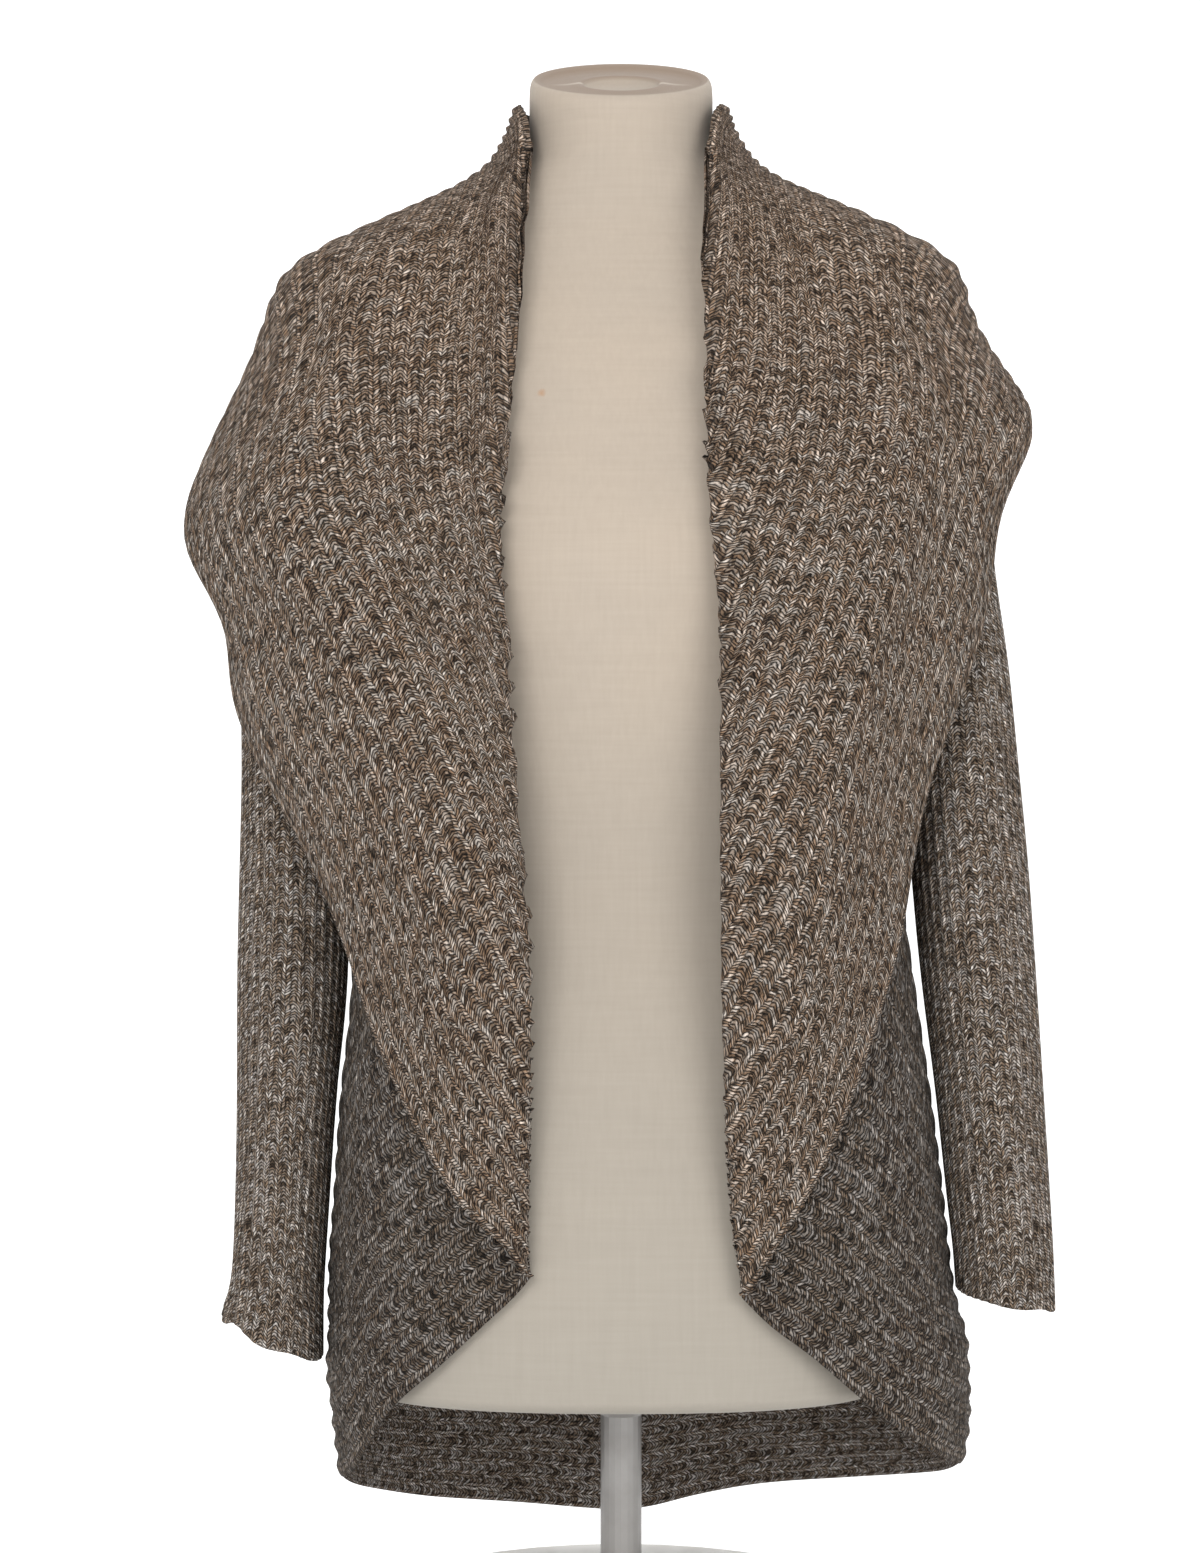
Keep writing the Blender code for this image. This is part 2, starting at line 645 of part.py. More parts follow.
def hem_band_place(across, along):
    """Places of the back hem band; its ribs run round the back, so across runs up."""
    azimuth = round_the_back(along, SIDE_SEAM)[None, :]
    low = smooth(azimuth, BACK_HEM["azimuth"], BACK_HEM["girth"])
    girth = low + across[:, None] * (HEM_BAND_TOP - low)
    return np.stack((np.broadcast_to(azimuth, girth.shape), girth), axis=-1)


def neck_stand_place(across, along):
    """Places of the collar's inner layer behind the neck."""
    low = NECK_SEAM + SEAM_GAP / MM
    girth = low + across * (COLLAR_TOP - low)
    azimuth = round_the_back(along, NECK_SIDE_SEAM)
    return np.stack(np.broadcast_arrays(azimuth[None, :], girth[:, None]), axis=-1)


def sleeve_surface(side):
    """Surface of a sleeve; across runs round it from the top of the shoulder, along runs down."""
    rings = SLEEVE_RINGS[side]
    count = len(rings["outer_x"])

    def surface(across, along):
        turn = (across * 2 * math.pi)[:, None]
        azimuth = SIDE + (ARMHOLE_HALF_ANGLE - SLEEVE_INSIDE[1]) * np.sin(turn)
        girth = ARMHOLE_HEIGHT + (ARMHOLE_HALF_HEIGHT - SLEEVE_INSIDE[0]) * np.cos(turn)
        armhole = lifted_point(BODY_RINGS, side * azimuth, girth, RIB_HEIGHT + LAP_GAP)
        station = along * count - 1
        row = {name: smooth(station, np.arange(count), rings[name]) * MM for name in SLEEVE_COLUMNS}
        middle_x = (row["outer_x"] + row["inner_x"]) / 2
        middle_z = (row["outer_z"] + row["inner_z"]) / 2 + FORM_BASE
        up = (1 + np.cos(turn)) / 2
        crown = np.sign(np.cos(turn)) * abs(np.cos(turn)) ** SLEEVE_CROWN
        cheek = np.sign(np.sin(turn)) * abs(np.sin(turn)) ** SLEEVE_CHEEK
        x = side * (middle_x + (row["outer_x"] - row["inner_x"]) / 2 * crown)
        z = middle_z + (row["outer_z"] - row["inner_z"]) / 2 * np.cos(turn)
        y = row["middle_y"] + row["half_depth"] * cheek
        flare = np.clip(station - (count - 2), 0, 1) * CUFF_WAVE[side]
        z = z + flare * np.sin(CUFF_WAVES * turn) * up
        ring = np.stack((x, y, z + 0 * x), axis=-1)
        first = np.clip(-station, 0, 1)[None, :, None]
        return ring * (1 - first) + armhole * first

    return surface


def turned(name, profile, segments, material):
    """A solid turned round Z from (radius, height) points, top to bottom, closed on the axis."""
    angles = np.arange(segments) * 2 * math.pi / segments
    points = [(0, 0, profile[0][1])]
    for radius, height in profile:
        points += [(radius * math.cos(a), radius * math.sin(a), height) for a in angles]
    points.append((0, 0, profile[-1][1]))
    faces = []
    for segment in range(segments):
        following = (segment + 1) % segments
        faces.append((0, 1 + segment, 1 + following))
        for ring in range(len(profile) - 1):
            here = 1 + ring * segments
            below = here + segments
            faces.append((here + segment, below + segment, below + following, here + following))
        last = 1 + (len(profile) - 1) * segments
        faces.append((len(points) - 1, last + following, last + segment))
    return add_object(name, points, faces, material)


def dress_form(material):
    """The limbless form: level sections up to the neck, which leans forward to a shallow cap."""
    segments = FORM_SEGMENTS
    azimuth = np.arange(segments) * 360.0 / segments
    rings = [ring_point(FORM_RINGS, azimuth, np.full(segments, girth)) for girth in FORM_RINGS["girth"]]
    compass = np.stack((np.sin(np.radians(azimuth)), -np.cos(np.radians(azimuth)), 0 * azimuth), axis=-1)
    for radius, below in zip(CAP["radius"], CAP["below"]):
        height = (FORM_RINGS["height"][-1] - below) * MM + FORM_BASE
        rings.append(compass * radius * MM + (0, 0, height))
    for ring in rings:
        above = (ring[:, 2] - FORM_BASE) / MM
        lean = smooth(above, (NECK_TILT_FROM, NECK_TILT_WHOLE), (0.0, 1.0))
        ring[:, 2] += lean * math.tan(NECK_TILT) * ring[:, 1]
    points = np.vstack(rings)
    bottom = np.array([(0, 0, FORM_BASE)])
    dish_middle = rings[-1].mean(axis=0)[None]
    points = np.vstack((points, bottom, dish_middle))
    index = np.arange(len(rings) * segments).reshape(-1, segments)
    index = np.hstack((index, index[:, :1]))
    faces = grid_faces(index, True)
    for segment in range(segments):
        low = (int(index[0, segment]), int(index[0, segment + 1]))
        high = (int(index[-1, segment]), int(index[-1, segment + 1]))
        faces.append((len(points) - 2, low[1], low[0]))
        faces.append((len(points) - 1, high[0], high[1]))
    return add_object("dress_form", points, faces, material)


def stand(steel, enamel):
    """Post with its flange under the form, on a round foot plate."""
    top = FORM_BASE - SEAM_GAP
    turned(
        "stand_post",
        (
            (FLANGE_RADIUS, top),
            (FLANGE_RADIUS, top - FLANGE_THICK),
            (POST_RADIUS + 4 * MM, top - FLANGE_THICK - 2 * MM),
            (POST_RADIUS, top - FLANGE_THICK - 12 * MM),
            (POST_RADIUS, FOOT_THICK + SEAM_GAP),
        ),
        POST_SEGMENTS,
        steel,
    )
    turned(
        "stand_foot",
        (
            (FOOT_RADIUS - FOOT_BEVEL, FOOT_THICK),
            (FOOT_RADIUS, FOOT_THICK - FOOT_BEVEL),
            (FOOT_RADIUS, 0),
        ),
        FORM_SEGMENTS,
        enamel,
    )


def cardigan():
    """Every knitted piece, inside out: body, hem, sleeves, then the shawl over them."""
    cloth = {
        name: make_material(name + "_knit", MARL, 0.95, 0.0)
        for name in ("front", "back", "hem", "sleeve", "shawl", "collar")
    }
    for side, word in ((LEFT, "left"), (RIGHT, "right")):
        ribbed_wall(
            word + "_front", on_body(front_place(side)), WALES_ON_FRONT,
            FRONT_STATIONS, cloth["front"],
        )
        ribbed_wall(
            word + "_sleeve", off_grid(sleeve_surface(side), side), WALES_ON_SLEEVE,
            np.linspace(0, 1, len(SLEEVE_RINGS[side]["outer_x"]) + 1), cloth["sleeve"],
            PLAIN_EVERY, closed=True,
        )
        ribbed_wall(
            word + "_shawl", off_grid(shawl_surface(side), side), WALES_ON_SHAWL,
            SHAWL_STATIONS, cloth["shawl"],
        )
    up_back = (BACK_ROWS - BACK_LOW) / (NECK_SEAM - BACK_LOW)
    ribbed_wall("back_panel", on_body(back_place), WALES_ON_BACK, up_back, cloth["back"])
    round_hem = np.linspace(0, 1, STATIONS_ON_HEM)
    ribbed_wall("back_hem_band", on_body(hem_band_place), RIBS_ON_HEM, round_hem, cloth["hem"])
    round_neck = np.linspace(0, 1, STATIONS_ON_NECK)
    ribbed_wall("neck_stand", on_body(neck_stand_place), RIBS_ON_NECK_STAND, round_neck, cloth["collar"])


def main():
    """Clears the scene and models the cardigan, the form and its stand."""
    for obj in list(bpy.data.objects):
        bpy.data.objects.remove(obj)
    dress_form(make_material("form_cover", CREAM, 0.9, 0.0))
    steel = make_material("post_steel", GREY_STEEL, 0.4, 0.8)
    enamel = make_material("foot_enamel", PALE_ENAMEL, 0.35, 0.0)
    stand(steel, enamel)
    cardigan()


main()
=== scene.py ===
"""Finish of a shawl-collar cardigan in chunky marled rib knit, worn on a limbless dress form.

Metres, +Z up. The front faces -Y, "left" is the viewer's left (-X). A place on a layer of the
garment is an azimuth in degrees, from the middle of the front (0) round to the middle of the back
(180), and a girth in millimetres above the underside of the form, which counts on over the
shoulder up to the collar.
"""

from __future__ import annotations

import logging
import math
from collections.abc import Callable
from dataclasses import dataclass, field
from enum import Enum

import bmesh
import bpy
import numpy as np
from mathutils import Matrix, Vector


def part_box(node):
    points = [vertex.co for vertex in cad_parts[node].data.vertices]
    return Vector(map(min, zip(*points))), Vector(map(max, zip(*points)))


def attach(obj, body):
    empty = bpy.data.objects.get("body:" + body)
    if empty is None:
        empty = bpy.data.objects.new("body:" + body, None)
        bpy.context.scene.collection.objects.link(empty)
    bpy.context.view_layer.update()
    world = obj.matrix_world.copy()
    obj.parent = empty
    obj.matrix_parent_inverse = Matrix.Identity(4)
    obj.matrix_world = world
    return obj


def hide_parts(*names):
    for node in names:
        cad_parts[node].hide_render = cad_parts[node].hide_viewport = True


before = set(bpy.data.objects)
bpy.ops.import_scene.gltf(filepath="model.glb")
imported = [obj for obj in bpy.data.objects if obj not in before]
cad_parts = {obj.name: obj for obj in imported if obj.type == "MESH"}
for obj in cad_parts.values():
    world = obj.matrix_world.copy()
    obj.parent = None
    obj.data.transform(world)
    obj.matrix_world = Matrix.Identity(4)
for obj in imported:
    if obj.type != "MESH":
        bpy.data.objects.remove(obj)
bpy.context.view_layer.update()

LOG = logging.getLogger("cardigan")

Array = np.ndarray
Columns = dict[str, Array]
Pair = tuple[float, float]
Place = tuple[float, float, float]
Colour = tuple[float, float, float]

MM = 0.001
FORM_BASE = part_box("dress_form")[0].z
ONLY_BODY = "root"

KNIT_WALL = 2.4 * MM  # cloth between the ribs
RIB_HEIGHT = 1.5 * MM  # how far a rib stands out of the cloth
BACK_OF_RIB = 0.9 * MM  # how far the inside follows a rib outwards
LAP_GAP = 1.9 * MM  # from the body layer to the cloth that lies on it, its rib included
FOLD_RADIUS = 9.0 * MM  # of the roll where the shawl turns back
FOLD_SAMPLES = (240, 60)  # points of the fold line, on the front and round the neck
LIP_RADIUS = 3.2 * MM  # of the turn that hides the front's edge under the roll
LIP_STATIONS = 5
LIP_LEAST = 0.2  # share of the turn left up the neck
NECK_TURN = (540.0, 630.0)  # girths over which the turn shrinks to that share
LIP_REACH = 26.0 * MM  # over which the set-in dies away
LEAST_CLIMB = 0.08  # slope between rib and fold below which the knit map stays as it is
WALE_STEP = 3  # stations over which a rib's course at the fold is read
CALM_REACH = 18.0 * MM  # over which the ribs reach their whole height from a folded edge
CALM_EDGE = 0.45  # share of their height at its start
EDGE_HOLD = 40.0 * MM  # over which a folded edge keeps its line when the cloth is smoothed
EDGE_ROUND = 1.8 * MM  # how far in from a cut edge the cloth reaches its whole thickness
EDGE_LEAST = 0.3  # share of the thickness left at the very edge
CREASE_END = 0.7  # power by which a crease dies away; below 1 keeps it deep near its ends
COURSE = 1.95 * MM  # height of a row of stitches
INSIDE_SHIFT = (0.5, 0.0)  # ribs and rows by which the inside's knit lies aside
FINE_STATIONS = 3  # extra stations close to each cut edge
FINE_SPREAD = 1.5  # power that draws them to the edge

SIDE = 90.0  # azimuth of the side seams
SIDE_SEAM = 0.13  # azimuth that each panel keeps clear of them
ARMHOLE_HEIGHT = 575.0
ARMHOLE_HALF_HEIGHT = 80.0
ARMHOLE_HALF_ANGLE = 18.0
SLEEVE_INSIDE = (3.1, 0.85)  # how far the sleeve's first ring lies in from the armhole, and in azimuth
HEM_BAND_TOP = 55.0
BACK_LOW = HEM_BAND_TOP + 0.6  # the back panel starts here, clear of the band
NECK_SEAM = 705.0
STAND_LOW = NECK_SEAM + 0.3  # the neck stand starts here, clear of the back panel
COLLAR_TOP = 744.5


class Side(Enum):
    """Side of the garment, as the viewer sees it, with the sign of X there."""

    LEFT = -1
    RIGHT = 1

    @property
    def word(self) -> str:
        """Name of the side in the pieces' names."""
        return self.name.lower()


class Hang(Enum):
    """How a sheet of cloth is held."""

    HUNG = "hung"
    FOLDED = "folded"


def table(columns: tuple[str, ...], *rows: tuple[float, ...]) -> Columns:
    """Named columns of numbers.

    Args:
        columns: the columns' names.
        rows: rows of numbers in that order.

    Returns:
        One array for each name.
    """
    return dict(zip(columns, np.array(rows, float).T))


RING_COLUMNS = ("girth", "height", "left", "right", "front", "back")

# Dress form, mm: half-widths and depths of its level sections; the last ones round its rim.
FORM_RINGS = table(
    RING_COLUMNS,
    (0, 0, 148, 148, 101, 101),
    (1.5, 1.5, 153, 153, 106, 106),
    (8, 8, 159, 159, 111, 111),
    (35, 35, 162, 162, 113, 114),
    (80, 80, 164, 164, 114, 117),
    (180, 180, 149, 149, 103, 106),
    (290, 290, 122, 122, 90, 90),
    (400, 400, 134, 134, 107, 96),
    (480, 480, 146, 146, 120, 98),
    (560, 560, 156, 156, 99, 99),
    (600, 600, 168, 168, 85, 96),
    (625, 624, 171, 171, 75, 92),
    (642, 640, 168, 168, 68, 86),
    (655, 651, 159, 159, 64, 80),
    (666, 659, 144, 144, 61, 75),
    (679, 670, 122, 122, 57, 69),
    (693, 684, 93, 93, 54, 63),
    (706, 702, 68, 68, 53, 59),
    (718, 718, 55, 55, 52, 56),
    (735, 735, 53.6, 53.6, 51, 53),
    (750, 750, 53.6, 53.6, 52, 53.5),
    (757, 757, 53.4, 53.4, 53, 54),
    (761, 761, 52.8, 52.8, 52.6, 53.6),
    (763, 763, 52, 52, 52, 53),
    (764, 764, 51, 51, 51, 52),
)
# The cap inside the neck's rim, mm: radius, and depth below the rim's top; the last rows are the dish.
CAP = table(
    ("radius", "below"),
    (50, 0.1), (48, 0.9), (45.5, 2.6), (41, 3.4), (33, 3.2), (26.5, 2.4), (24.5, 2.2), (22.8, 2.6),
    (21, 4.4), (18.5, 6.2), (14, 7.4), (7, 7.9), (0.6, 8.0),
)
NECK_TILT = math.radians(20.0)
NECK_TILT_FROM = 706.0  # the neck starts to lean here
NECK_TILT_WHOLE = 745.0  # and leans wholly from here on
ROUND_BASE = 8.0  # girth up to which the form's lower edge is round
LOW_SHADE_UP_TO = 480 * MM  # height over which the painted shade of the form's lower half, darker and greyer, fades out
CAP_LEVEL = FORM_BASE + 750 * MM  # height above which the form's skin is the cap, without the tilt
GLINT_REACH = 42.0 * MM  # how far from the axis the painted highlight reaches on the cap beside its dish
GLINT_SLOPE = 60.0  # share of that painted highlight gained for each metre inwards

# Body layer of the cardigan, mm: the cloth between the ribs. "girth" counts down from the collar.
BODY_RINGS = table(
    RING_COLUMNS,
    (-100, -100, 163, 197, 117, 125),
    (-50, -50, 164, 198, 118, 125),
    (-15, -15, 168, 203, 119, 125),
    (17, 17, 170, 202, 120, 125),
    (60, 60, 170, 193, 121, 125),
    (120, 120, 166, 186, 122, 124),
    (167, 167, 163, 180, 122, 121),
    (235, 235, 156, 170, 124, 118),
    (290, 290, 155, 163, 126, 115),
    (400, 400, 156, 159, 128, 111),
    (480, 480, 160, 160, 127, 109),
    (560, 560, 165, 165, 107, 107),
    (600, 600, 176, 176, 92, 104),
    (625, 625, 181, 181, 83, 100),
    (642, 640.5, 180.5, 180.5, 78, 95),
    (657, 654, 170.5, 170.5, 74, 90),
    (668, 662.5, 153.5, 154, 71, 85),
    (682, 677, 125, 127, 68, 79),
    (697, 693, 93, 95.5, 64, 72),
    (709, 708, 70, 71, 61, 67),
    (720, 721, 60.2, 60.2, 58, 62),
    (736, 737, 57.5, 57.5, 57, 58.3),
    (752, 750, 57.4, 57.4, 57, 58.3),
)

# Shawl layer, mm: its outline from the front gives "left" and "right".
SHAWL_RINGS = table(
    RING_COLUMNS,
    (50, 50, 178, 203, 130, 135),
    (120, 120, 175, 197, 131, 134),
    (167, 167, 173, 190, 131, 133),
    (235, 235, 173, 183, 132, 132),
    (290, 290, 183, 182, 134, 132),
    (335, 335, 200, 186, 135, 133),
    (374, 374, 218, 195, 136, 134),
    (410, 410, 228, 207, 137, 134),
    (439, 439, 227, 214, 138, 132),
    (468, 468, 243, 219, 138, 130),
    (497, 497, 255, 219, 136, 128),
    (527, 527, 248, 229, 129, 126),
    (556, 556, 236, 240, 120, 123),
    (585, 586, 221, 229, 112, 121),
    (600, 602, 214, 217, 108, 119),
    (625, 632, 205, 203, 101, 115),
    (642, 650, 198, 200, 97, 111),
    (657, 664, 175, 184, 93, 106),
    (668, 675, 150, 161, 90, 101),
    (682, 687.5, 120, 130, 86, 95),
    (697, 701.5, 92, 96, 80, 88),
    (709, 712.5, 78, 80.5, 74, 80),
    (720, 723, 71.5, 72.5, 69, 74),
    (736, 738, 65, 65, 65, 68),
    (752, 752, 62.3, 62.3, 62.3, 65),
)

# How square a level section is: 2 is an ellipse.
SQUARENESS = table(("girth", "power"), (0, 2.4), (640, 2.4), (700, 2.2), (740, 2.0))

# Fold line of each shawl, from the tip at the hem up to the side of the neck.
FOLD_COLUMNS = ("girth", "azimuth")
FOLD_LINE = {
    Side.LEFT: table(
        FOLD_COLUMNS,
        (79, 21.9), (126, 21.6), (259, 20.9), (314, 22.5), (447, 25.0), (551, 27.2),
        (615, 29.4), (659, 32.5), (697, 38.5), (720, 47.0), (741, 60.0), (750, 76.0),
    ),
    Side.RIGHT: table(
        FOLD_COLUMNS,
        (67, 28.4), (116, 25.5), (202, 23.8), (313, 22.4), (430, 21.8), (504, 20.0),
        (569, 22.1), (636, 24.9), (676, 29.5), (697, 34.0), (720, 43.5), (741, 56.0), (750, 72.0),
    ),
}

# Where the wales cross the fold line: share of the wales from the tip up, and girth there.
CROSSING_COLUMNS = ("share", "girth")
FOLD_CROSSINGS = {
    Side.LEFT: table(
        CROSSING_COLUMNS,
        (0, 79), (0.28, 175), (0.50, 278), (0.68, 376), (0.83, 457), (0.93, 549), (0.96, 600),
        (0.985, 660), (1, 712),
    ),
    Side.RIGHT: table(
        CROSSING_COLUMNS,
        (0, 67), (0.28, 178), (0.49, 298), (0.66, 402), (0.81, 514), (0.90, 560), (0.95, 618),
        (0.985, 670), (1, 712),
    ),
}

# The same for the wales of each front.
FRONT_CROSSINGS = {
    Side.LEFT: table(
        CROSSING_COLUMNS, (0, 79), (0.22, 175), (0.45, 303), (0.67, 441), (0.85, 560), (1, 716)
    ),
    Side.RIGHT: table(
        CROSSING_COLUMNS, (0, 67), (0.22, 168), (0.45, 303), (0.67, 445), (0.85, 560), (1, 716)
    ),
}

# Wales of the shawl that guide the others, from the fold to the side (azimuth 90) and on to the
# middle of the back: share of the wales, then azimuth and girth along it. Share 0 is the free edge,
# and share 1 is the last stretch of the fold line itself.
SHAWL_GUIDES = {
    Side.LEFT: {
        0.0: (
            (21.9, 79), (26.5, 96), (35, 111), (44, 145), (53, 188), (61, 230), (68, 278), (73, 312),
            (77.5, 345), (81, 374), (84, 409), (83, 437), (86.5, 468), (90, 500),
            (105, 501), (130, 478), (155, 458), (180, 450),
        ),
        0.28: (
            (22.5, 176), (41, 245), (53, 343), (64, 440), (73.5, 547), (79, 580), (90, 612),
            (130, 570), (180, 516),
        ),
        0.50: (
            (23.5, 279), (36, 365), (48, 462), (58, 538), (64, 588), (66, 635), (71, 660), (90, 678),
            (130, 640), (180, 587),
        ),
        0.68: (
            (24, 376), (38, 475), (46, 543), (50.5, 604), (52, 645), (57, 678), (90, 700), (130, 684),
            (180, 654),
        ),
        0.83: (
            (24, 457), (31, 508), (38, 593), (41.5, 650), (46.5, 690), (60, 711), (90, 722),
            (130, 719), (180, 706),
        ),
        0.93: (
            (27, 549), (32, 603), (35, 654), (40.5, 688), (52, 717), (66, 731), (90, 737), (130, 736),
            (180, 731),
        ),
        0.96: (
            (29, 600), (33, 650), (38, 683), (45, 706), (56, 725), (69, 737), (90, 742), (130, 742),
            (180, 739),
        ),
        0.985: (
            (32.5, 660), (38, 690), (45, 710), (54.5, 727), (67, 741), (90, 747.5), (130, 747.5),
            (180, 747),
        ),
        1.0: ((43, 712), (51, 728), (60, 740), (74, 749), (90, 752), (135, 752), (180, 752)),
    },
    Side.RIGHT: {
        0.0: (
            (28.4, 67), (33.5, 91), (38.5, 111), (46.8, 152), (51.8, 184), (58, 225), (64.4, 272),
            (67.2, 309), (70, 352), (72.5, 377), (75, 410), (77, 444), (78.5, 468), (80, 500), (83, 530),
            (90, 556), (105, 545), (130, 505), (155, 465), (180, 450),
        ),
        0.28: (
            (24, 178), (38.5, 232), (50, 320), (56.5, 432), (65, 534), (72.5, 589), (90, 619),
            (130, 570), (180, 516),
        ),
        0.49: (
            (22.5, 298), (34.5, 365), (45.5, 464), (54.5, 542), (61.5, 607), (64.5, 650), (71, 672),
            (90, 684), (130, 642), (180, 587),
        ),
        0.66: (
            (22, 402), (32.5, 475), (43, 550), (48, 602), (49.5, 649), (55, 681), (90, 702),
            (130, 684), (180, 654),
        ),
        0.81: (
            (20.2, 514), (29.5, 553), (36.5, 598), (40, 645), (45.5, 688), (58, 709), (90, 720),
            (130, 717), (180, 706),
        ),
        0.90: (
            (21.8, 560), (28, 603), (33.5, 654), (38, 688), (50, 716), (64, 729), (90, 735),
            (130, 734), (180, 728),
        ),
        0.95: (
            (24, 618), (29.5, 660), (35.5, 690), (44, 712), (56, 728), (69, 737), (90, 741.5),
            (130, 741), (180, 738),
        ),
        0.985: (
            (28.5, 670), (34.5, 695), (42, 713), (51, 728), (63, 740.5), (90, 747.5), (130, 747.5),
            (180, 747),
        ),
        1.0: ((40, 712), (48, 728), (56, 740), (70, 749), (90, 752), (135, 752), (180, 752)),
    },
}
SIDE_STATION = 0.55  # share of a wale's length at which every guide reaches the side
FOLD_HOLD = 0.33  # share of a wale's length over which the fold line draws it in
BACK_SEAM = 0.1  # azimuth between each shawl and the middle of the back

# Lower edge of each front, from the tip to the side seam.
HEM_COLUMNS = ("azimuth", "girth")
FRONT_HEM = {
    Side.LEFT: table(
        HEM_COLUMNS,
        (21.9, 79), (24.2, 72), (33.9, 50), (44.6, 25), (55.2, 2), (65.2, -28), (73, -44), (90, -53),
    ),
    Side.RIGHT: table(
        HEM_COLUMNS,
        (28.4, 67), (35.2, 50), (42.6, 35), (54.9, 3), (63.1, -17), (75, -36), (90, -46),
    ),
}

# Lower edge of the back hem band, from side seam to side seam; left azimuths are negative.
BACK_HEM = table(
    HEM_COLUMNS,
    (-270, -46), (-255, -60), (-235, -72), (-215, -80), (-200, -88), (-188, -95), (-180, -97),
    (-172, -96), (-155, -92), (-133, -85), (-110, -70), (-90, -53),
)

# Where the wales of a front meet the side seam and the armhole: share, then girth above the hem.
SIDE_CROSSINGS = table(
    CROSSING_COLUMNS, (0, 0), (0.22, 105), (0.45, 240), (0.68, 450), (0.85, 615), (1, 708)
)

# How fast a front's shoulder seam turns from the side of the neck to the top of the shoulder.
SHOULDER_SEAM = table(("share", "turn"), (0, 0), (0.12, 0.6), (0.3, 1), (1, 1))

# Sleeves, mm: x and height of the outer and inner line, half-depth and middle in Y.
SLEEVE_COLUMNS = ("outer_x", "outer_z", "inner_x", "inner_z", "half_depth", "middle_y")
SLEEVE_RINGS = {
    Side.LEFT: table(
        SLEEVE_COLUMNS,
        (191, 636, 169.0, 482, 46, 0),
        (199, 618, 169.5, 472, 46, 1),
        (206, 592, 169.5, 460, 46, 2),
        (212, 558, 169.0, 446, 46, 3),
        (217, 518, 168.0, 430, 46, 3),
        (221, 474, 166.5, 410, 43, 6),
        (222, 424, 164.5, 384, 41, 8),
        (221, 366, 162.0, 350, 40, 8),
        (222, 305, 160.5, 300, 40, 5),
        (223, 240, 161.0, 240, 40, 0),
        (222.5, 170, 167.5, 170, 40, -6),
        (223, 112, 171.5, 105, 39, -11),
        (224.5, 68, 174.5, 50, 40, -15),
        (231, 45, 174.5, 18, 42, -15),
    ),
    Side.RIGHT: table(
        SLEEVE_COLUMNS,
        (189, 634, 169.0, 482, 46, 0),
        (196, 614, 169.5, 472, 46, 1),
        (203, 588, 169.5, 460, 46, 2),
        (209, 552, 169.0, 446, 46, 3),
        (214, 512, 168.0, 430, 45, 6),
        (219, 468, 167.0, 410, 43, 8),
        (225.5, 425, 167.0, 384, 42, 8),
        (231, 370, 168.5, 348, 42, 8),
        (237, 305, 172.0, 295, 42, 4),
        (241, 240, 177.0, 238, 42, -1),
        (244.5, 175, 185.0, 172, 42, -7),
        (247.5, 115, 191.0, 110, 41, -14),
        (249.5, 78, 194.5, 80, 41, -15),
        (250.5, 48, 196.0, 58, 42, -15),
    ),
}
CUFF_WAVE = {Side.LEFT: 4.0 * MM, Side.RIGHT: 1.5 * MM}
CUFF_WAVES = 5
SLEEVE_CROWN = 0.85  # below 1 makes a sleeve's level sections fuller than an ellipse, in x
SLEEVE_CHEEK = 0.9  # the same in y


def smooth(at: Array | float, xs: Array | Pair, ys: Array | Pair) -> Array:
    """A cubic through (xs, ys) that never overshoots: slopes are harmonic means of their neighbours'.

    Args:
        at: where to read the curve.
        xs: rising positions.
        ys: values there; they may have more axes after the first.

    Returns:
        Values in the shape of at, and then of one value.
    """
    at = np.asarray(at, float)
    xs = np.asarray(xs, float)
    ys = np.asarray(ys, float)
    steps = np.diff(xs).reshape((-1,) + (1,) * (ys.ndim - 1))
    slopes = np.diff(ys, axis=0) / steps
    product = slopes[:-1] * slopes[1:]
    total = np.where(product > 0, slopes[:-1] + slopes[1:], 1.0)
    inner = np.where(product > 0, 2 * product / total, 0.0)
    tangents = np.concatenate((slopes[:1], inner, slopes[-1:]))
    place = np.clip(np.searchsorted(xs, at) - 1, 0, len(xs) - 2)
    shape = at.shape + (1,) * (ys.ndim - 1)
    step = steps[place].reshape(shape)
    share = (np.clip(at, xs[0], xs[-1]) - xs[place]).reshape(shape) / step
    rest = 1 - share
    low = ys[place] * (1 + 2 * share) + tangents[place] * step * share
    high = ys[place + 1] * (1 + 2 * rest) - tangents[place + 1] * step * rest
    return low * rest**2 + high * share**2


def unit(vectors: Array) -> Array:
    """Vectors scaled to a length of one; a zero vector stays zero."""
    length = np.linalg.norm(vectors, axis=-1, keepdims=True)
    return vectors / np.where(length > 0, length, 1)


def relax(points: Array, across_passes: int, along_passes: int, closed: bool) -> Array:
    """Grid of points with each moved towards its neighbours' middle; cut edges stay.

    Args:
        points: (lines, stations, 3).
        across_passes: how often each line is drawn to the lines beside it.
        along_passes: how often each station is drawn to the stations beside it.
        closed: the last line lies on the first.

    Returns:
        The smoother grid.
    """
    points = points.copy()
    for _ in range(across_passes):
        middle = (points[:-2] + points[2:]) / 2
        points[1:-1] = (points[1:-1] + middle) / 2
        if closed:
            ends = (points[1] + points[-2]) / 4 + points[0] / 2
            points[0] = ends
            points[-1] = ends
    for _ in range(along_passes):
        middle = (points[:, :-2] + points[:, 2:]) / 2
        points[:, 1:-1] = (points[:, 1:-1] + middle) / 2
    return points


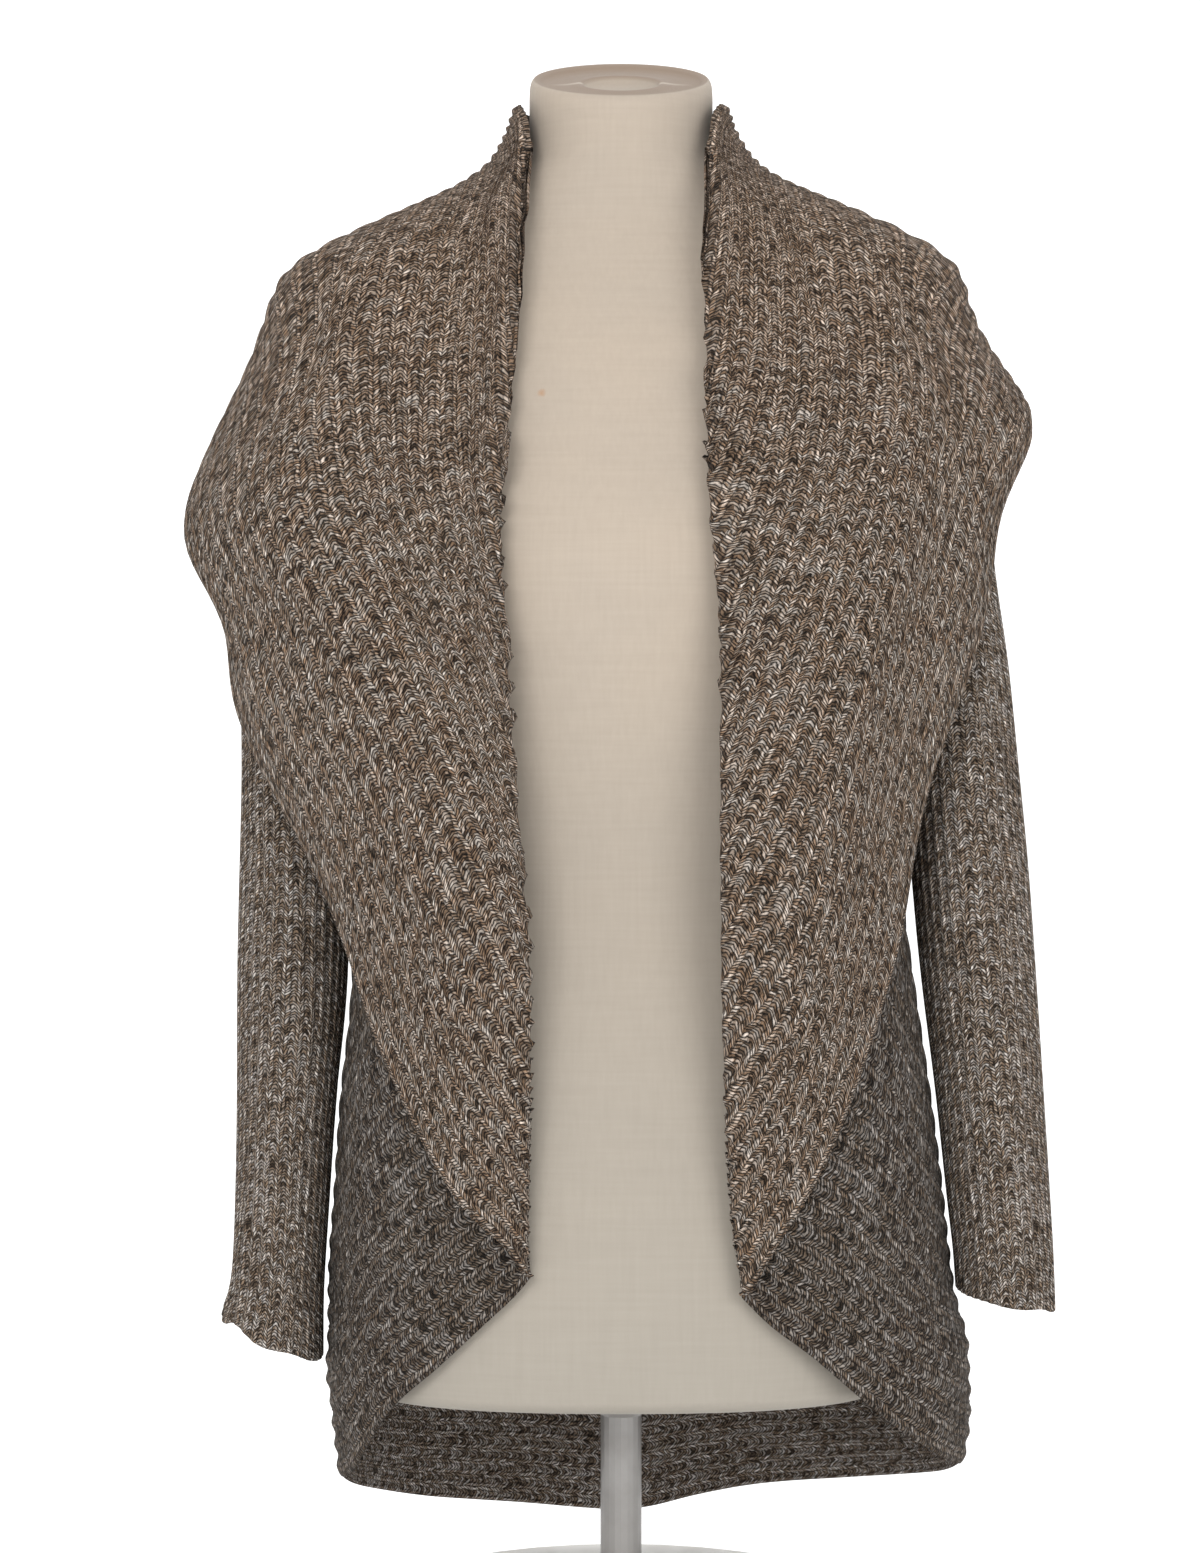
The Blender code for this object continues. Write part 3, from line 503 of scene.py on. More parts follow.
def lengths(points: Array, axis: int) -> Array:
    """Running length of a grid of points along one of its axes: the sum of the steps so far.

    Args:
        points: the grid, with x, y and z on its last axis.
        axis: the axis along which to go.

    Returns:
        Lengths from 0 on, at every point.
    """
    steps = np.linalg.norm(np.diff(points, axis=axis), axis=-1)
    start = np.zeros_like(np.take(steps, [0], axis=axis))
    return np.concatenate((start, np.cumsum(steps, axis=axis)), axis=axis)


def head_starts(points: Array, run: Array) -> Array:
    """Length to add to each line's running length so that equal lengths lie square across the lines.

    Between two lines, it is the mean over the stations of how far the one lies ahead.

    Args:
        points: (lines, stations, 3).
        run: running length along each line.

    Returns:
        A length for each line, 0 for the first.
    """
    course = unit(np.gradient(points, axis=1))
    step = points[1:] - points[:-1]
    ahead = (step * unit(course[1:] + course[:-1])).sum(axis=-1)
    share = np.gradient(run.mean(axis=0))
    gain = np.average(run[:-1] + ahead - run[1:], axis=1, weights=share)
    return np.concatenate(((0.0,), np.cumsum(gain)))


@dataclass(frozen=True)
class Layer:
    """A layer round the form, as level sections: superellipses with four half-sizes of their own."""

    rings: Columns

    def point(self, azimuth: Array, girth: Array) -> Array:
        """Point in the direction of the azimuth on the section at a girth.

        The radius is (|sin / half-width|^p + |cos / depth|^p)^(-1/p).

        Args:
            azimuth: degrees from the middle of the front, negative on the left.
            girth: millimetres, as in the tables.

        Returns:
            Points in metres.
        """
        sine = np.sin(np.radians(azimuth))
        cosine = np.cos(np.radians(azimuth))
        at = self.rings["girth"]
        column = {name: smooth(girth, at, self.rings[name]) for name in RING_COLUMNS[1:]}
        power = smooth(girth, SQUARENESS["girth"], SQUARENESS["power"])
        half_width = np.where(sine < 0, column["left"], column["right"])
        depth = np.where(cosine > 0, column["front"], column["back"])
        radius = ((abs(sine) / half_width) ** power + (abs(cosine) / depth) ** power) ** (-1 / power)
        height = column["height"] * MM + FORM_BASE
        return np.stack((radius * sine * MM, -radius * cosine * MM, height), axis=-1)

    def outward(self, azimuth: Array, girth: Array) -> Array:
        """Directions square to the layer, from the steps round it and up it.

        Args:
            azimuth: degrees from the middle of the front, negative on the left.
            girth: millimetres, as in the tables.

        Returns:
            Unit vectors that point outwards.
        """
        tiny = 0.05
        above = np.minimum(girth + tiny, self.rings["girth"][-1])
        round_it = self.point(azimuth + tiny, girth) - self.point(azimuth - tiny, girth)
        up_it = self.point(azimuth, above) - self.point(azimuth, girth - tiny)
        return unit(np.cross(round_it, up_it))


BODY = Layer(BODY_RINGS)
SHAWL = Layer(SHAWL_RINGS)
FORM = Layer(FORM_RINGS)


# ---------------------------------------------------------------- shader writing

MIX_SOCKETS = (0, 6, 7)  # a Mix node's share and its two colours; the ones between are for numbers
MIX_RESULT = 2


@dataclass
class Wire:
    """A value inside a material, which Python's operators turn into Math nodes."""

    tree: bpy.types.NodeTree
    socket: bpy.types.NodeSocket

    def _math(self, operation: str, *others: Wire | float, first: bool = True) -> Wire:
        """One Math node.

        Args:
            operation: the node's operation.
            others: its other inputs.
            first: this wire is the node's first input, and not its second.

        Returns:
            The node's output.
        """
        node = self.tree.nodes.new("ShaderNodeMath")
        node.operation = operation
        values = (self, *others) if first else (*others, self)
        for socket, value in zip(node.inputs, values):
            plug(self.tree, socket, value)
        return Wire(self.tree, node.outputs[0])

    def __add__(self, other: Wire | float) -> Wire:
        """Sum."""
        return self._math("ADD", other)

    __radd__ = __add__

    def __sub__(self, other: Wire | float) -> Wire:
        """Difference."""
        return self._math("SUBTRACT", other)

    def __rsub__(self, other: float) -> Wire:
        """Difference from a number."""
        return self._math("SUBTRACT", other, first=False)

    def __mul__(self, other: Wire | float) -> Wire:
        """Product."""
        return self._math("MULTIPLY", other)

    __rmul__ = __mul__

    def __truediv__(self, other: Wire | float) -> Wire:
        """Quotient."""
        return self._math("DIVIDE", other)

    def __pow__(self, other: float) -> Wire:
        """Power."""
        return self._math("POWER", other)

    def __abs__(self) -> Wire:
        """Size without its sign."""
        return self._math("ABSOLUTE")

    def fraction(self) -> Wire:
        """What is left above the whole number below."""
        return self._math("FRACT")

    def floor(self) -> Wire:
        """The whole number below."""
        return self._math("FLOOR")

    def sine(self) -> Wire:
        """Sine, in radians."""
        return self._math("SINE")

    def below(self, limit: float) -> Wire:
        """1 where the value is smaller than the limit, and 0 elsewhere."""
        return self._math("LESS_THAN", limit)

    def least(self, other: float) -> Wire:
        """The smaller of the two."""
        return self._math("MINIMUM", other)

    def most(self, other: float) -> Wire:
        """The larger of the two."""
        return self._math("MAXIMUM", other)

    def between(self, low: float, high: float) -> Wire:
        """0 up to low, 1 from high on, and a straight run between."""
        return ((self - low) / (high - low)).most(0.0).least(1.0)


def plug(tree: bpy.types.NodeTree, socket: bpy.types.NodeSocket, value: object) -> None:
    """Links a wire to a socket, or sets a plain value on it.

    Args:
        tree: the material's nodes.
        socket: an input of one of them.
        value: a wire, a number, a vector or a colour without its alpha.
    """
    if isinstance(value, Wire):
        tree.links.new(value.socket, socket)
    elif isinstance(value, tuple) and len(value) == 3 and socket.type == "RGBA":
        socket.default_value = (*value, 1.0)
    else:
        socket.default_value = value


class Finish:
    """A material under construction, with one Principled shader."""

    def __init__(self, name: str) -> None:
        """Starts the material with its shader.

        Args:
            name: the material's name.
        """
        self.material = bpy.data.materials.new(name)
        self.material.use_nodes = True
        self.tree = self.material.node_tree
        self.shader = self.tree.nodes["Principled BSDF"]

    def node(
        self,
        kind: str,
        settings: dict[str, object] | None = None,
        output: str | int = 0,
        numbered: dict[int, object] | None = None,
        **inputs: object,
    ) -> Wire:
        """One node of any kind.

        Args:
            kind: the node's type.
            settings: attributes of the node, set first; "stops" is a ramp's (position, colour) pairs.
            output: which output is wanted.
            numbered: values or wires by the socket's number, where two sockets share a name.
            inputs: values or wires by the socket's name, with _ for a space.

        Returns:
            The wanted output.
        """
        made = self.tree.nodes.new(kind)
        settings = dict(settings or {})
        stops = settings.pop("stops", None)
        for name, value in settings.items():
            setattr(made, name, value)
        if stops:
            ramp = made.color_ramp.elements
            while len(ramp) > 1:
                ramp.remove(ramp[-1])
            ramp[0].position = stops[0][0]
            ramp[0].color = (*stops[0][1], 1.0)
            for position, colour in stops[1:]:
                ramp.new(position).color = (*colour, 1.0)
        sockets = {name.replace("_", " "): value for name, value in inputs.items()}
        for key, value in (sockets | (numbered or {})).items():
            plug(self.tree, made.inputs[key], value)
        return Wire(self.tree, made.outputs[output])

    def split(self, vector: Wire) -> tuple[Wire, Wire, Wire]:
        """The three parts of a vector."""
        parts = self.node("ShaderNodeSeparateXYZ", Vector=vector).socket.node.outputs
        return tuple(Wire(self.tree, part) for part in parts)

    def join(self, x: Wire | float, y: Wire | float, z: Wire | float = 0.0) -> Wire:
        """A vector from its three parts."""
        return self.node("ShaderNodeCombineXYZ", X=x, Y=y, Z=z)

    def mix(self, share: Wire | float, first: object, second: object, way: str = "MIX") -> Wire:
        """Two colours mixed.

        Args:
            share: how much of the second.
            first: a colour or a wire.
            second: a colour or a wire.
            way: the blend type.

        Returns:
            The mixed colour.
        """
        sockets = dict(zip(MIX_SOCKETS, (share, first, second)))
        return self.node("ShaderNodeMix", {"data_type": "RGBA", "blend_type": way}, MIX_RESULT, sockets)

    def shaded(self, colour: Wire, lightness: Wire) -> Wire:
        """A colour times a lightness."""
        return self.mix(1.0, colour, self.join(lightness, lightness, lightness), "MULTIPLY")

    def noise(self, at: Wire) -> Wire:
        """A number of its own, from 0 to 1, for each whole place in a plane."""
        return self.node("ShaderNodeTexWhiteNoise", {"noise_dimensions": "2D"}, Vector=at)

    def cloud(self, at: Wire, scale: float, detail: float = 2.0) -> Wire:
        """Soft noise, about 0.5 in the middle."""
        return self.node("ShaderNodeTexNoise", Vector=at, Scale=scale, Detail=detail, Roughness=0.55)

    def dress(self, **inputs: object) -> bpy.types.Material:
        """Sets the shader's sockets.

        Args:
            inputs: values or wires by the socket's name, with _ for a space.

        Returns:
            The material.
        """
        for name, value in inputs.items():
            plug(self.tree, self.shader.inputs[name.replace("_", " ")], value)
        return self.material


# Yarn colours, dark to light, with the share of the yarn that each takes.
MARL = (
    (0.19, (0.031, 0.021, 0.014)),
    (0.20, (0.084, 0.060, 0.043)),
    (0.22, (0.200, 0.137, 0.092)),
    (0.22, (0.305, 0.252, 0.212)),
    (0.17, (0.460, 0.392, 0.342)),
    (0.00, (0.600, 0.520, 0.460)),
)
LOOPS_FROM = 500.0  # number of the first strand of loops, past those of the legs


@dataclass(frozen=True)
class MarledRib:
    """Rib knit of a marled yarn, read from a UV map in ribs and rows of stitches."""

    name: str
    shade: float  # lightness of the whole piece; between pieces of the one yarn it differs as painted light and shade
    cool: Colour = (0.90, 1.0, 1.08)  # tint of the greyer patches
    warm: Colour = (1.12, 0.98, 0.80)  # tint of the browner patches
    ply: tuple[tuple[float, Colour], ...] = MARL
    wander: float = 0.45  # how far the columns stray, in ribs
    wander_grain: Pair = (0.25, 0.9)  # share of the rows in that, and its scale
    column: float = 0.29  # half-width of the knit column on a rib, in ribs
    legs_rise: float = 2.1  # rows that the leg of a stitch climbs from the crest to the valley
    legs_bow: float = 1.25  # power that bows the legs
    lag: float = 0.6  # rows that one strand may lag behind the next
    sway: Pair = (0.45, 2.2)  # scale of the rows' waves, and their height in rows
    leg_tone: float = 0.5  # share of a leg's own tone in the yarn's
    fleck_tone: float = 0.55  # the same for flecks of one ply
    drift_tone: float = 0.75  # the same for the drift along a row
    tone_down: float = 0.04  # taken off their sum
    flecks: Pair = (7.0, 1.3)  # flecks of one ply to a rib, and to a row
    drift_grain: Pair = (0.8, 3.7)  # how fast the drift changes, to a rib and to a row
    patches: float = 0.5  # how strongly the patches tint
    patch_grain: Pair = (0.9, 0.22)  # how fast they change, to a rib and to a row
    patch_edges: Pair = (0.34, 0.66)  # noise below which a patch is cool, and above which warm
    patch_by_leg: float = 0.7  # how far a leg strays from its patch
    warm_above: Pair = (0.62, 0.86)  # heights between which the browner patches gain
    gain: float = 0.0  # how much they gain
    leg_round: float = 0.6  # share of a leg's height that its round section takes
    gap_below: float = 0.25  # height of a leg at which the painted shade of the gap beside it is darkest
    between_legs: float = 0.05  # painted shade: lightness left where two legs meet
    valley: float = 0.68  # painted shade: lightness left between the ribs
    valley_reach: float = 0.6  # how far that painted shade reaches up a rib
    leg_height: float = 0.85  # height of the legs in the relief
    fibre_height: float = 0.3  # height of the fibres in it
    fibres: Pair = (24.0, 5.0)  # fibres to a rib, and to a row

    def material(self) -> bpy.types.Material:
        """The material.

        With a the distance from a rib's crest, the legs of the stitches climb to both sides by
        legs_rise * (1 - (1 - 2a)^legs_bow), so that two make a V on the crest and the loops between
        two ribs are arcs. The tone of the yarn adds up one of each leg's or loop's own, one of the
        short flecks of a single ply, and a drift along the row, because the yarn runs that way. It
        picks the ply's colour. The gaps beside the legs and the valleys between the ribs are darker,
        as painted shade.

        Returns:
            The material.
        """
        finish = Finish(self.name)
        uv = finish.node("ShaderNodeUVMap", {"uv_map": "knit"})
        rib, row, _ = finish.split(uv)
        stray = finish.cloud(finish.join(rib, row * self.wander_grain[0]), self.wander_grain[1])
        rib = rib + (stray - 0.5) * self.wander
        aside = abs(rib.fraction() - 0.5)
        knit = aside.below(self.column)
        strand = (rib * 2).floor() * knit + ((rib + 0.5).floor() + LOOPS_FROM) * (1 - knit)
        late = finish.node("ShaderNodeTexWhiteNoise", {"noise_dimensions": "1D"}, W=strand)
        climb = 1 - (1 - aside * 2) ** self.legs_bow
        waves = finish.cloud(uv, self.sway[0]) * self.sway[1]
        course = row - climb * self.legs_rise + late * self.lag + waves
        own = finish.noise(finish.join(strand, course.floor()))
        fleck = finish.join((rib * self.flecks[0]).floor(), (course * self.flecks[1]).floor())
        fleck = finish.noise(fleck)
        drift = finish.join(rib * self.drift_grain[0], course.floor() * self.drift_grain[1])
        drift = finish.cloud(drift, 1.0, 1.0) - 0.5
        tone = own * self.leg_tone + fleck * self.fleck_tone + drift * self.drift_tone - self.tone_down
        stops = []
        reached = 0.0
        for share, colour in self.ply:
            stops.append((reached, tuple(part * self.shade for part in colour)))
            reached += share
        yarn = finish.node("ShaderNodeValToRGB", {"stops": stops}, Fac=tone.most(0.0).least(1.0))
        patch = finish.cloud(finish.join(rib * self.patch_grain[0], row * self.patch_grain[1]), 1.0)
        patch = patch.between(*self.patch_edges) + (0.5 - own) * self.patch_by_leg
        _, _, level = finish.split(finish.node("ShaderNodeTexCoord", output="Object"))
        patch = patch + level.between(*self.warm_above) * self.gain
        tint = finish.mix(patch.most(0.0).least(1.0), self.cool, self.warm)
        yarn = finish.mix(self.patches, yarn, finish.mix(1.0, yarn, tint, "MULTIPLY"))
        along_leg = 1 - (course.fraction() * 2 - 1) ** 2
        across_leg = 1 - (aside * (2 / self.column) - 1) ** 2
        across_loop = (aside - self.column) * (1 / (0.5 - self.column))
        side = across_leg * knit + across_loop.most(0.0) ** 0.5 * (1 - knit)
        height = along_leg * (side.most(0.0) * self.leg_round + (1 - self.leg_round))
        # Painted shade: darker in the gaps beside the legs and in the valleys between the ribs.
        deep = height.between(self.gap_below, 1.0) * (1 - self.between_legs) + self.between_legs
        valley_shade = (1 - aside * 2).between(0.0, self.valley_reach) * (1 - self.valley) + self.valley
        fibre = finish.cloud(finish.join(rib * self.fibres[0], course * self.fibres[1]), 1.0)
        height = height * self.leg_height + fibre * self.fibre_height
        relief = finish.node("ShaderNodeBump", Strength=0.9, Distance=1.0 * MM, Height=height)
        return finish.dress(
            Base_Color=finish.shaded(yarn, deep * valley_shade), Normal=relief, Roughness=0.95,
            Sheen_Weight=0.04, Sheen_Roughness=0.6, Specular_IOR_Level=0.08,
        )


@dataclass(frozen=True)
class WovenCover:
    """Close plain-woven cream cover of the form, with the faint marks of use, painted shade on its lower
    half and its cap, and a painted highlight on the cap.
    """

    name: str = "cream_woven_cover"
    cloth: Colour = (0.388, 0.326, 0.263)
    faded: Colour = (0.36, 0.308, 0.254)
    low: Colour = (0.305, 0.278, 0.237)  # painted shade: darker, greyer colour of the lower half
    soft_edges: Pair = (0.3, 0.7)  # noise at which fading and slubs start, and are whole
    thread: float = 0.7 * MM
    warp_turn: float = 0.6  # how much of y the warp counts with x, so that it shows on the sides too
    thread_height: float = 0.3  # of the weave in the relief, where the slubs are 1
    slubs: Pair = (22.0, 420.0)  # slubs to a metre along a thread, and across the threads
    slub_shade: Pair = (0.95, 0.08)  # least lightness of the slubs, and what they gain
    # painted shade: the cap's colour, darker and browner than the cloth
    cap: Colour = (0.245, 0.185, 0.138)
    cap_edge: float = 50.3 * MM
    dish: float = 22.0 * MM  # radius of the cap's dish
    dish_light: float = 0.9  # how far the dish is spared the cap's painted shade, keeping the cloth's own colour
    # painted highlight beside the cap's dish: its colour, and its half-width in y
    glint: Colour = (0.47, 0.40, 0.33)
    glint_height: float = 4.0 * MM
    mark: Colour = (0.36, 0.21, 0.12)
    mark_place: Place = (-0.0450, -0.110, 0.7010)
    mark_depth: float = 0.04  # share of y in the distance to the mark, which lies on the front
    mark_radius: float = 2.2 * MM
    mark_edges: Pair = (0.3, 1.3)  # radii between which the mark fades out
    mark_strength: float = 0.75

    def material(self) -> bpy.types.Material:
        """The material: crossed threads, slubs, soft fading, one small stain, and painted light and
        shade: a darker lower half, a browner, darker cap and a glint beside the cap's dish.

        Returns:
            The material.
        """
        finish = Finish(self.name)
        place = finish.node("ShaderNodeTexCoord", output="Object")
        x, y, z = finish.split(place)
        turns = 2 * math.pi / self.thread
        weave = ((x + y * self.warp_turn) * turns).sine() * (z * turns).sine()
        long, short = self.slubs
        slub_across = finish.cloud(finish.join(x * long, y * long, z * short), 1.0)
        slub_up = finish.cloud(finish.join(x * short, y * short, z * long), 1.0)
        streak = (slub_across + slub_up) * 0.5
        fresh = finish.cloud(place, 9.0, 3.0).between(*self.soft_edges)
        ground = finish.mix(fresh, self.faded, self.cloth)
        # Painted shade: the cloth darker and greyer towards the bottom.
        ground = finish.mix(1 - z.between(FORM_BASE, FORM_BASE + LOW_SHADE_UP_TO), ground, self.low)
        slubs = streak.between(*self.soft_edges) * self.slub_shade[1] + self.slub_shade[0]
        ground = finish.shaded(ground, slubs)
        # Painted shade: the cap darker than the cloth, but for its dish.
        level = z - y * math.tan(NECK_TILT)
        reach = (x * x + y * y) ** 0.5
        on_cap = (1 - reach.between(self.cap_edge, self.cap_edge + MM)) * (1 - level.below(CAP_LEVEL))
        in_dish = 1 - reach.between(self.dish - MM, self.dish + MM)
        ground = finish.mix(on_cap * (1 - in_dish * self.dish_light), ground, self.cap)
        # Painted highlight: a glint on the cap to both sides of its dish.
        past_dish = reach.between(self.dish, self.dish + MM)
        in_glint = (1 - abs(y).between(0.0, self.glint_height)) * past_dish
        in_glint = in_glint * ((GLINT_REACH - reach) * GLINT_SLOPE).most(0.0).least(1.0)
        ground = finish.mix(on_cap * in_glint, ground, self.glint)
        depth = self.mark_depth
        centre = (self.mark_place[0], self.mark_place[1] * depth, self.mark_place[2])
        ends = {0: finish.join(x, y * depth, z), 1: centre}
        away = finish.node("ShaderNodeVectorMath", {"operation": "DISTANCE"}, "Value", ends)
        blurred = away + (finish.cloud(place, 700.0) - 0.5) * self.mark_radius
        low, high = self.mark_edges
        stain = 1 - blurred.between(self.mark_radius * low, self.mark_radius * high)
        height = weave * self.thread_height + streak
        relief = finish.node("ShaderNodeBump", Strength=0.35, Distance=0.35 * MM, Height=height)
        return finish.dress(
            Base_Color=finish.mix(stain * self.mark_strength, ground, self.mark), Normal=relief,
            Roughness=0.88, Sheen_Weight=0.15, Sheen_Roughness=0.5, Specular_IOR_Level=0.25,
        )


@dataclass(frozen=True)
class Paint:
    """Sprayed enamel or lacquer on metal, with fine orange peel and rubbed patches."""

    name: str
    colour: Colour
    worn: Colour  # colour of the rubbed patches
    roughness: float
    metallic: float
    rubbing: Pair = (0.42, 0.68)  # noise at which a patch starts, and is whole
    rubbed_through: float = 0.5  # how far a whole patch takes the worn colour
    rougher: float = 0.12  # roughness that it gains

    def material(self) -> bpy.types.Material:
        """The material.

        Returns:
            The material.
        """
        finish = Finish(self.name)
        place = finish.node("ShaderNodeTexCoord", output="Object")
        rubbed = finish.cloud(place, 35.0, 4.0).between(*self.rubbing)
        colour = finish.mix(rubbed * self.rubbed_through, self.colour, self.worn)
        peel = finish.cloud(place, 900.0, 1.0)
        relief = finish.node("ShaderNodeBump", Strength=0.12, Distance=0.3 * MM, Height=peel)
        roughness = rubbed * self.rougher + self.roughness
        return finish.dress(
            Base_Color=colour, Roughness=roughness, Metallic=self.metallic, Normal=relief
        )


# Each rib's lightness, with the tints of its greyer and its browner patches. The same yarn is lighter or
# darker from piece to piece as painted light and shade: the fronts darker under the lapels, the hem band
# lighter and cooler for its shadowed inside.
SHAWL_RIB = MarledRib("shawl_marled_rib", 1.23, (0.95, 1.025, 1.05), (1.16, 0.975, 0.79), gain=0.9)
# painted shade: the fronts darker than the shawl, under the lapels
FRONT_RIB = MarledRib("front_marled_rib", 0.75, (0.91, 1.02, 1.13), (0.99, 1.015, 0.98))
SLEEVE_RIB = MarledRib(
    "sleeve_marled_rib", 1.40, (0.89, 1.035, 1.17), (1.02, 1.02, 0.97), legs_rise=-1.9
)
BACK_RIB = MarledRib("back_marled_rib", 1.25, (0.9, 1.0, 1.1), (1.1, 1.0, 0.86))
# painted light: the band lighter and cooler than the back, to lift the shade on its inside
HEM_RIB = MarledRib("hem_marled_rib", 1.65, (0.85, 1.02, 1.22), (0.91, 1.02, 1.13))
COLLAR_RIB = MarledRib("collar_marled_rib", 1.3)


# ---------------------------------------------------------------- knitted pieces


@dataclass(frozen=True)
class Crease:
    """A soft trough or ridge in the cloth, from one place to another.

    Places are shares of the piece's width and length, sizes are in metres.
    """

    start: Pair
    end: Pair
    width: float
    depth: float  # negative for a trough

    def lift(self, across: Array, along: Array, flat: Pair) -> Array:
        """How far the crease moves the cloth: a bell across it, which dies away at both ends.

        Args:
            across: shares of the width, as a column.
            along: shares of the length, as a row.
            flat: width and length of the piece.

        Returns:
            Metres outwards on the grid.
        """
        size = np.array(flat)
        start = np.array(self.start) * size
        run = np.array(self.end) * size - start
        spot = np.broadcast_arrays(across[:, None] * size[0], along[None, :] * size[1])
        spot = np.stack(spot, axis=-1)
        share = ((spot - start) @ run) / (run @ run)
        away = np.linalg.norm(spot - start - np.clip(share, 0, 1)[..., None] * run, axis=-1)
        ends = np.clip(np.sin(np.clip(share, 0, 1) * math.pi), 0, 1) ** CREASE_END
        return self.depth * np.exp(-((away / self.width) ** 2)) * ends


def creases(*rows: tuple[float, ...]) -> tuple[Crease, ...]:
    """Creases from rows of numbers: both ends, then width and depth in millimetres."""
    return tuple(Crease(row[:2], row[2:4], row[4] * MM, row[5] * MM) for row in rows)


@dataclass
class RibPiece:
    """One cut piece of rib knit: a wall with ribs on both faces, on a surface of its own."""

    node: str
    slot: str
    finish: MarledRib
    ribs: int
    surface: Callable[[Array, Array], Array]  # cloth between the ribs, from shares across and along
    stations: Array
    flat: Pair
    area: float | None = None
    hang: Hang = Hang.HUNG
    rests_on: tuple[str, ...] = ("dress_form_cover",)
    closed: bool = False
    samples: int = 8  # points across one rib
    creases: tuple[Crease, ...] = ()
    settling: tuple[int, int] = (40, 4)  # passes of smoothing, across the ribs and along them
    cut_along: tuple[bool, bool] = (True, True)  # whether the first and last station are cut edges
    lip: Callable[[Array, Array], Array] | None = None  # makes the turn before the first station

    def edges(self, points: Array) -> Array:
        """Share of the thickness on the grid: a quarter circle at each cut edge.

        Args:
            points: the grid of the cloth.

        Returns:
            1 inside, falling to EDGE_LEAST at a cut edge.
        """
        run = lengths(points, 1)
        away = np.full(run.shape, 1.0)
        if self.cut_along[0]:
            away = np.minimum(away, run)
        if self.cut_along[1]:
            away = np.minimum(away, run[:, -1:] - run)
        if not self.closed:
            wide = lengths(points, 0)
            away = np.minimum(away, np.minimum(wide, wide[-1:] - wide))
        share = np.sqrt(1 - (1 - np.clip(away / EDGE_ROUND, 0, 1)) ** 2)
        return EDGE_LEAST + (1 - EDGE_LEAST) * share

    def normals(self, points: Array) -> Array:
        """Normals of the grid: the cross product of the steps to its neighbours.

        Args:
            points: the grid of the cloth.

        Returns:
            Unit vectors that point outwards.
        """
        over = np.gradient(points, axis=0)
        if self.closed:
            ends = points[1] - points[-2]
            over[0] = ends
            over[-1] = ends
        on = np.gradient(points, axis=1)
        square = unit(np.cross(over, on))
        middle = points.mean(axis=0, keepdims=True) if self.closed else points * (0, 0, 1)
        if (square * (points - middle)).sum() < 0:
            square = -square
        return square

    def build(self) -> bpy.types.Object:
        """The outside is the surface moved out by the ribs, 0.5 - 0.5 cos of the rib's share. The inside
        lies a wall's thickness below and follows the ribs part of the way.

        Returns:
            The piece.
        """
        across = np.linspace(0, 1, self.ribs * self.samples + 1)
        shape = self.surface(across, self.stations)
        points = relax(shape, *self.settling, self.closed)
        if self.lip is not None:
            hold = (1 - np.clip(lengths(shape, 1) / EDGE_HOLD, 0, 1)) ** 2
            points = points + (shape[:, :1] - points[:, :1]) * hold[..., None]
        square = self.normals(points)
        for crease in self.creases:
            points = points + square * crease.lift(across, self.stations, self.flat)[..., None]
        run = lengths(points, 1)
        along = run + head_starts(points, run)[:, None]
        ribs = np.broadcast_to((across * self.ribs)[:, None], run.shape)
        if self.lip is not None:
            start = self.lip(points, square)
            away = -lengths(start[:, ::-1], 1)[:, :0:-1]
            steps = self.knit_steps(points, square)
            along = np.concatenate((along[:, :1] + away * steps[0], along), axis=1)
            ribs = np.concatenate((ribs[:, :1] + away * steps[1], ribs), axis=1)
            points = np.concatenate((start[:, :-1], points), axis=1)
            square = self.normals(points)
        ridge = 0.5 - 0.5 * np.cos(ribs * 2 * math.pi)
        whole = self.edges(points)
        if self.lip is not None:
            ridge = ridge * np.interp(lengths(points, 1), (0.0, CALM_REACH), (CALM_EDGE, 1.0))
        top = RIB_HEIGHT * ridge
        bottom = -KNIT_WALL + BACK_OF_RIB * ridge
        middle = (top + bottom) / 2
        outer = points + square * (middle + (top - middle) * whole)[..., None]
        inner = points + square * (middle + (bottom - middle) * whole)[..., None]
        obj = self.mesh(outer, inner, np.stack((ribs, along / COURSE), axis=-1))
        area = np.linalg.norm(cells(points), axis=-1).sum()
        LOG.info("%s: %d points, %.3f m2 of cloth", obj.name, len(obj.data.vertices), area)
        obj.data.materials.append(self.finish.material())
        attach(obj, ONLY_BODY)
        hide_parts(self.node)
        return obj

    def knit_steps(self, points: Array, square: Array) -> tuple[Array, Array]:
        """How the knit goes on past the first station, square to it.

        Args:
            points: the grid of the cloth.
            square: its outward normals.

        Returns:
            For each line, length of the ribs and count of ribs to a metre square to the first station.
        """
        rim = np.gradient(points[:, 0], axis=0)
        stride = np.linalg.norm(rim, axis=-1)
        rim = rim / stride[:, None]
        up = np.cross(rim, square[:, 0])
        wale = unit(points[:, WALE_STEP] - points[:, 0])
        up = up * np.sign((up * wale).sum(axis=-1).mean())
        climb = (wale * up).sum(axis=-1)
        slant = (wale * rim).sum(axis=-1)
        ribs = -slant / np.maximum(climb, LEAST_CLIMB) / (stride * self.samples)
        return climb[:, None], ribs[:, None]

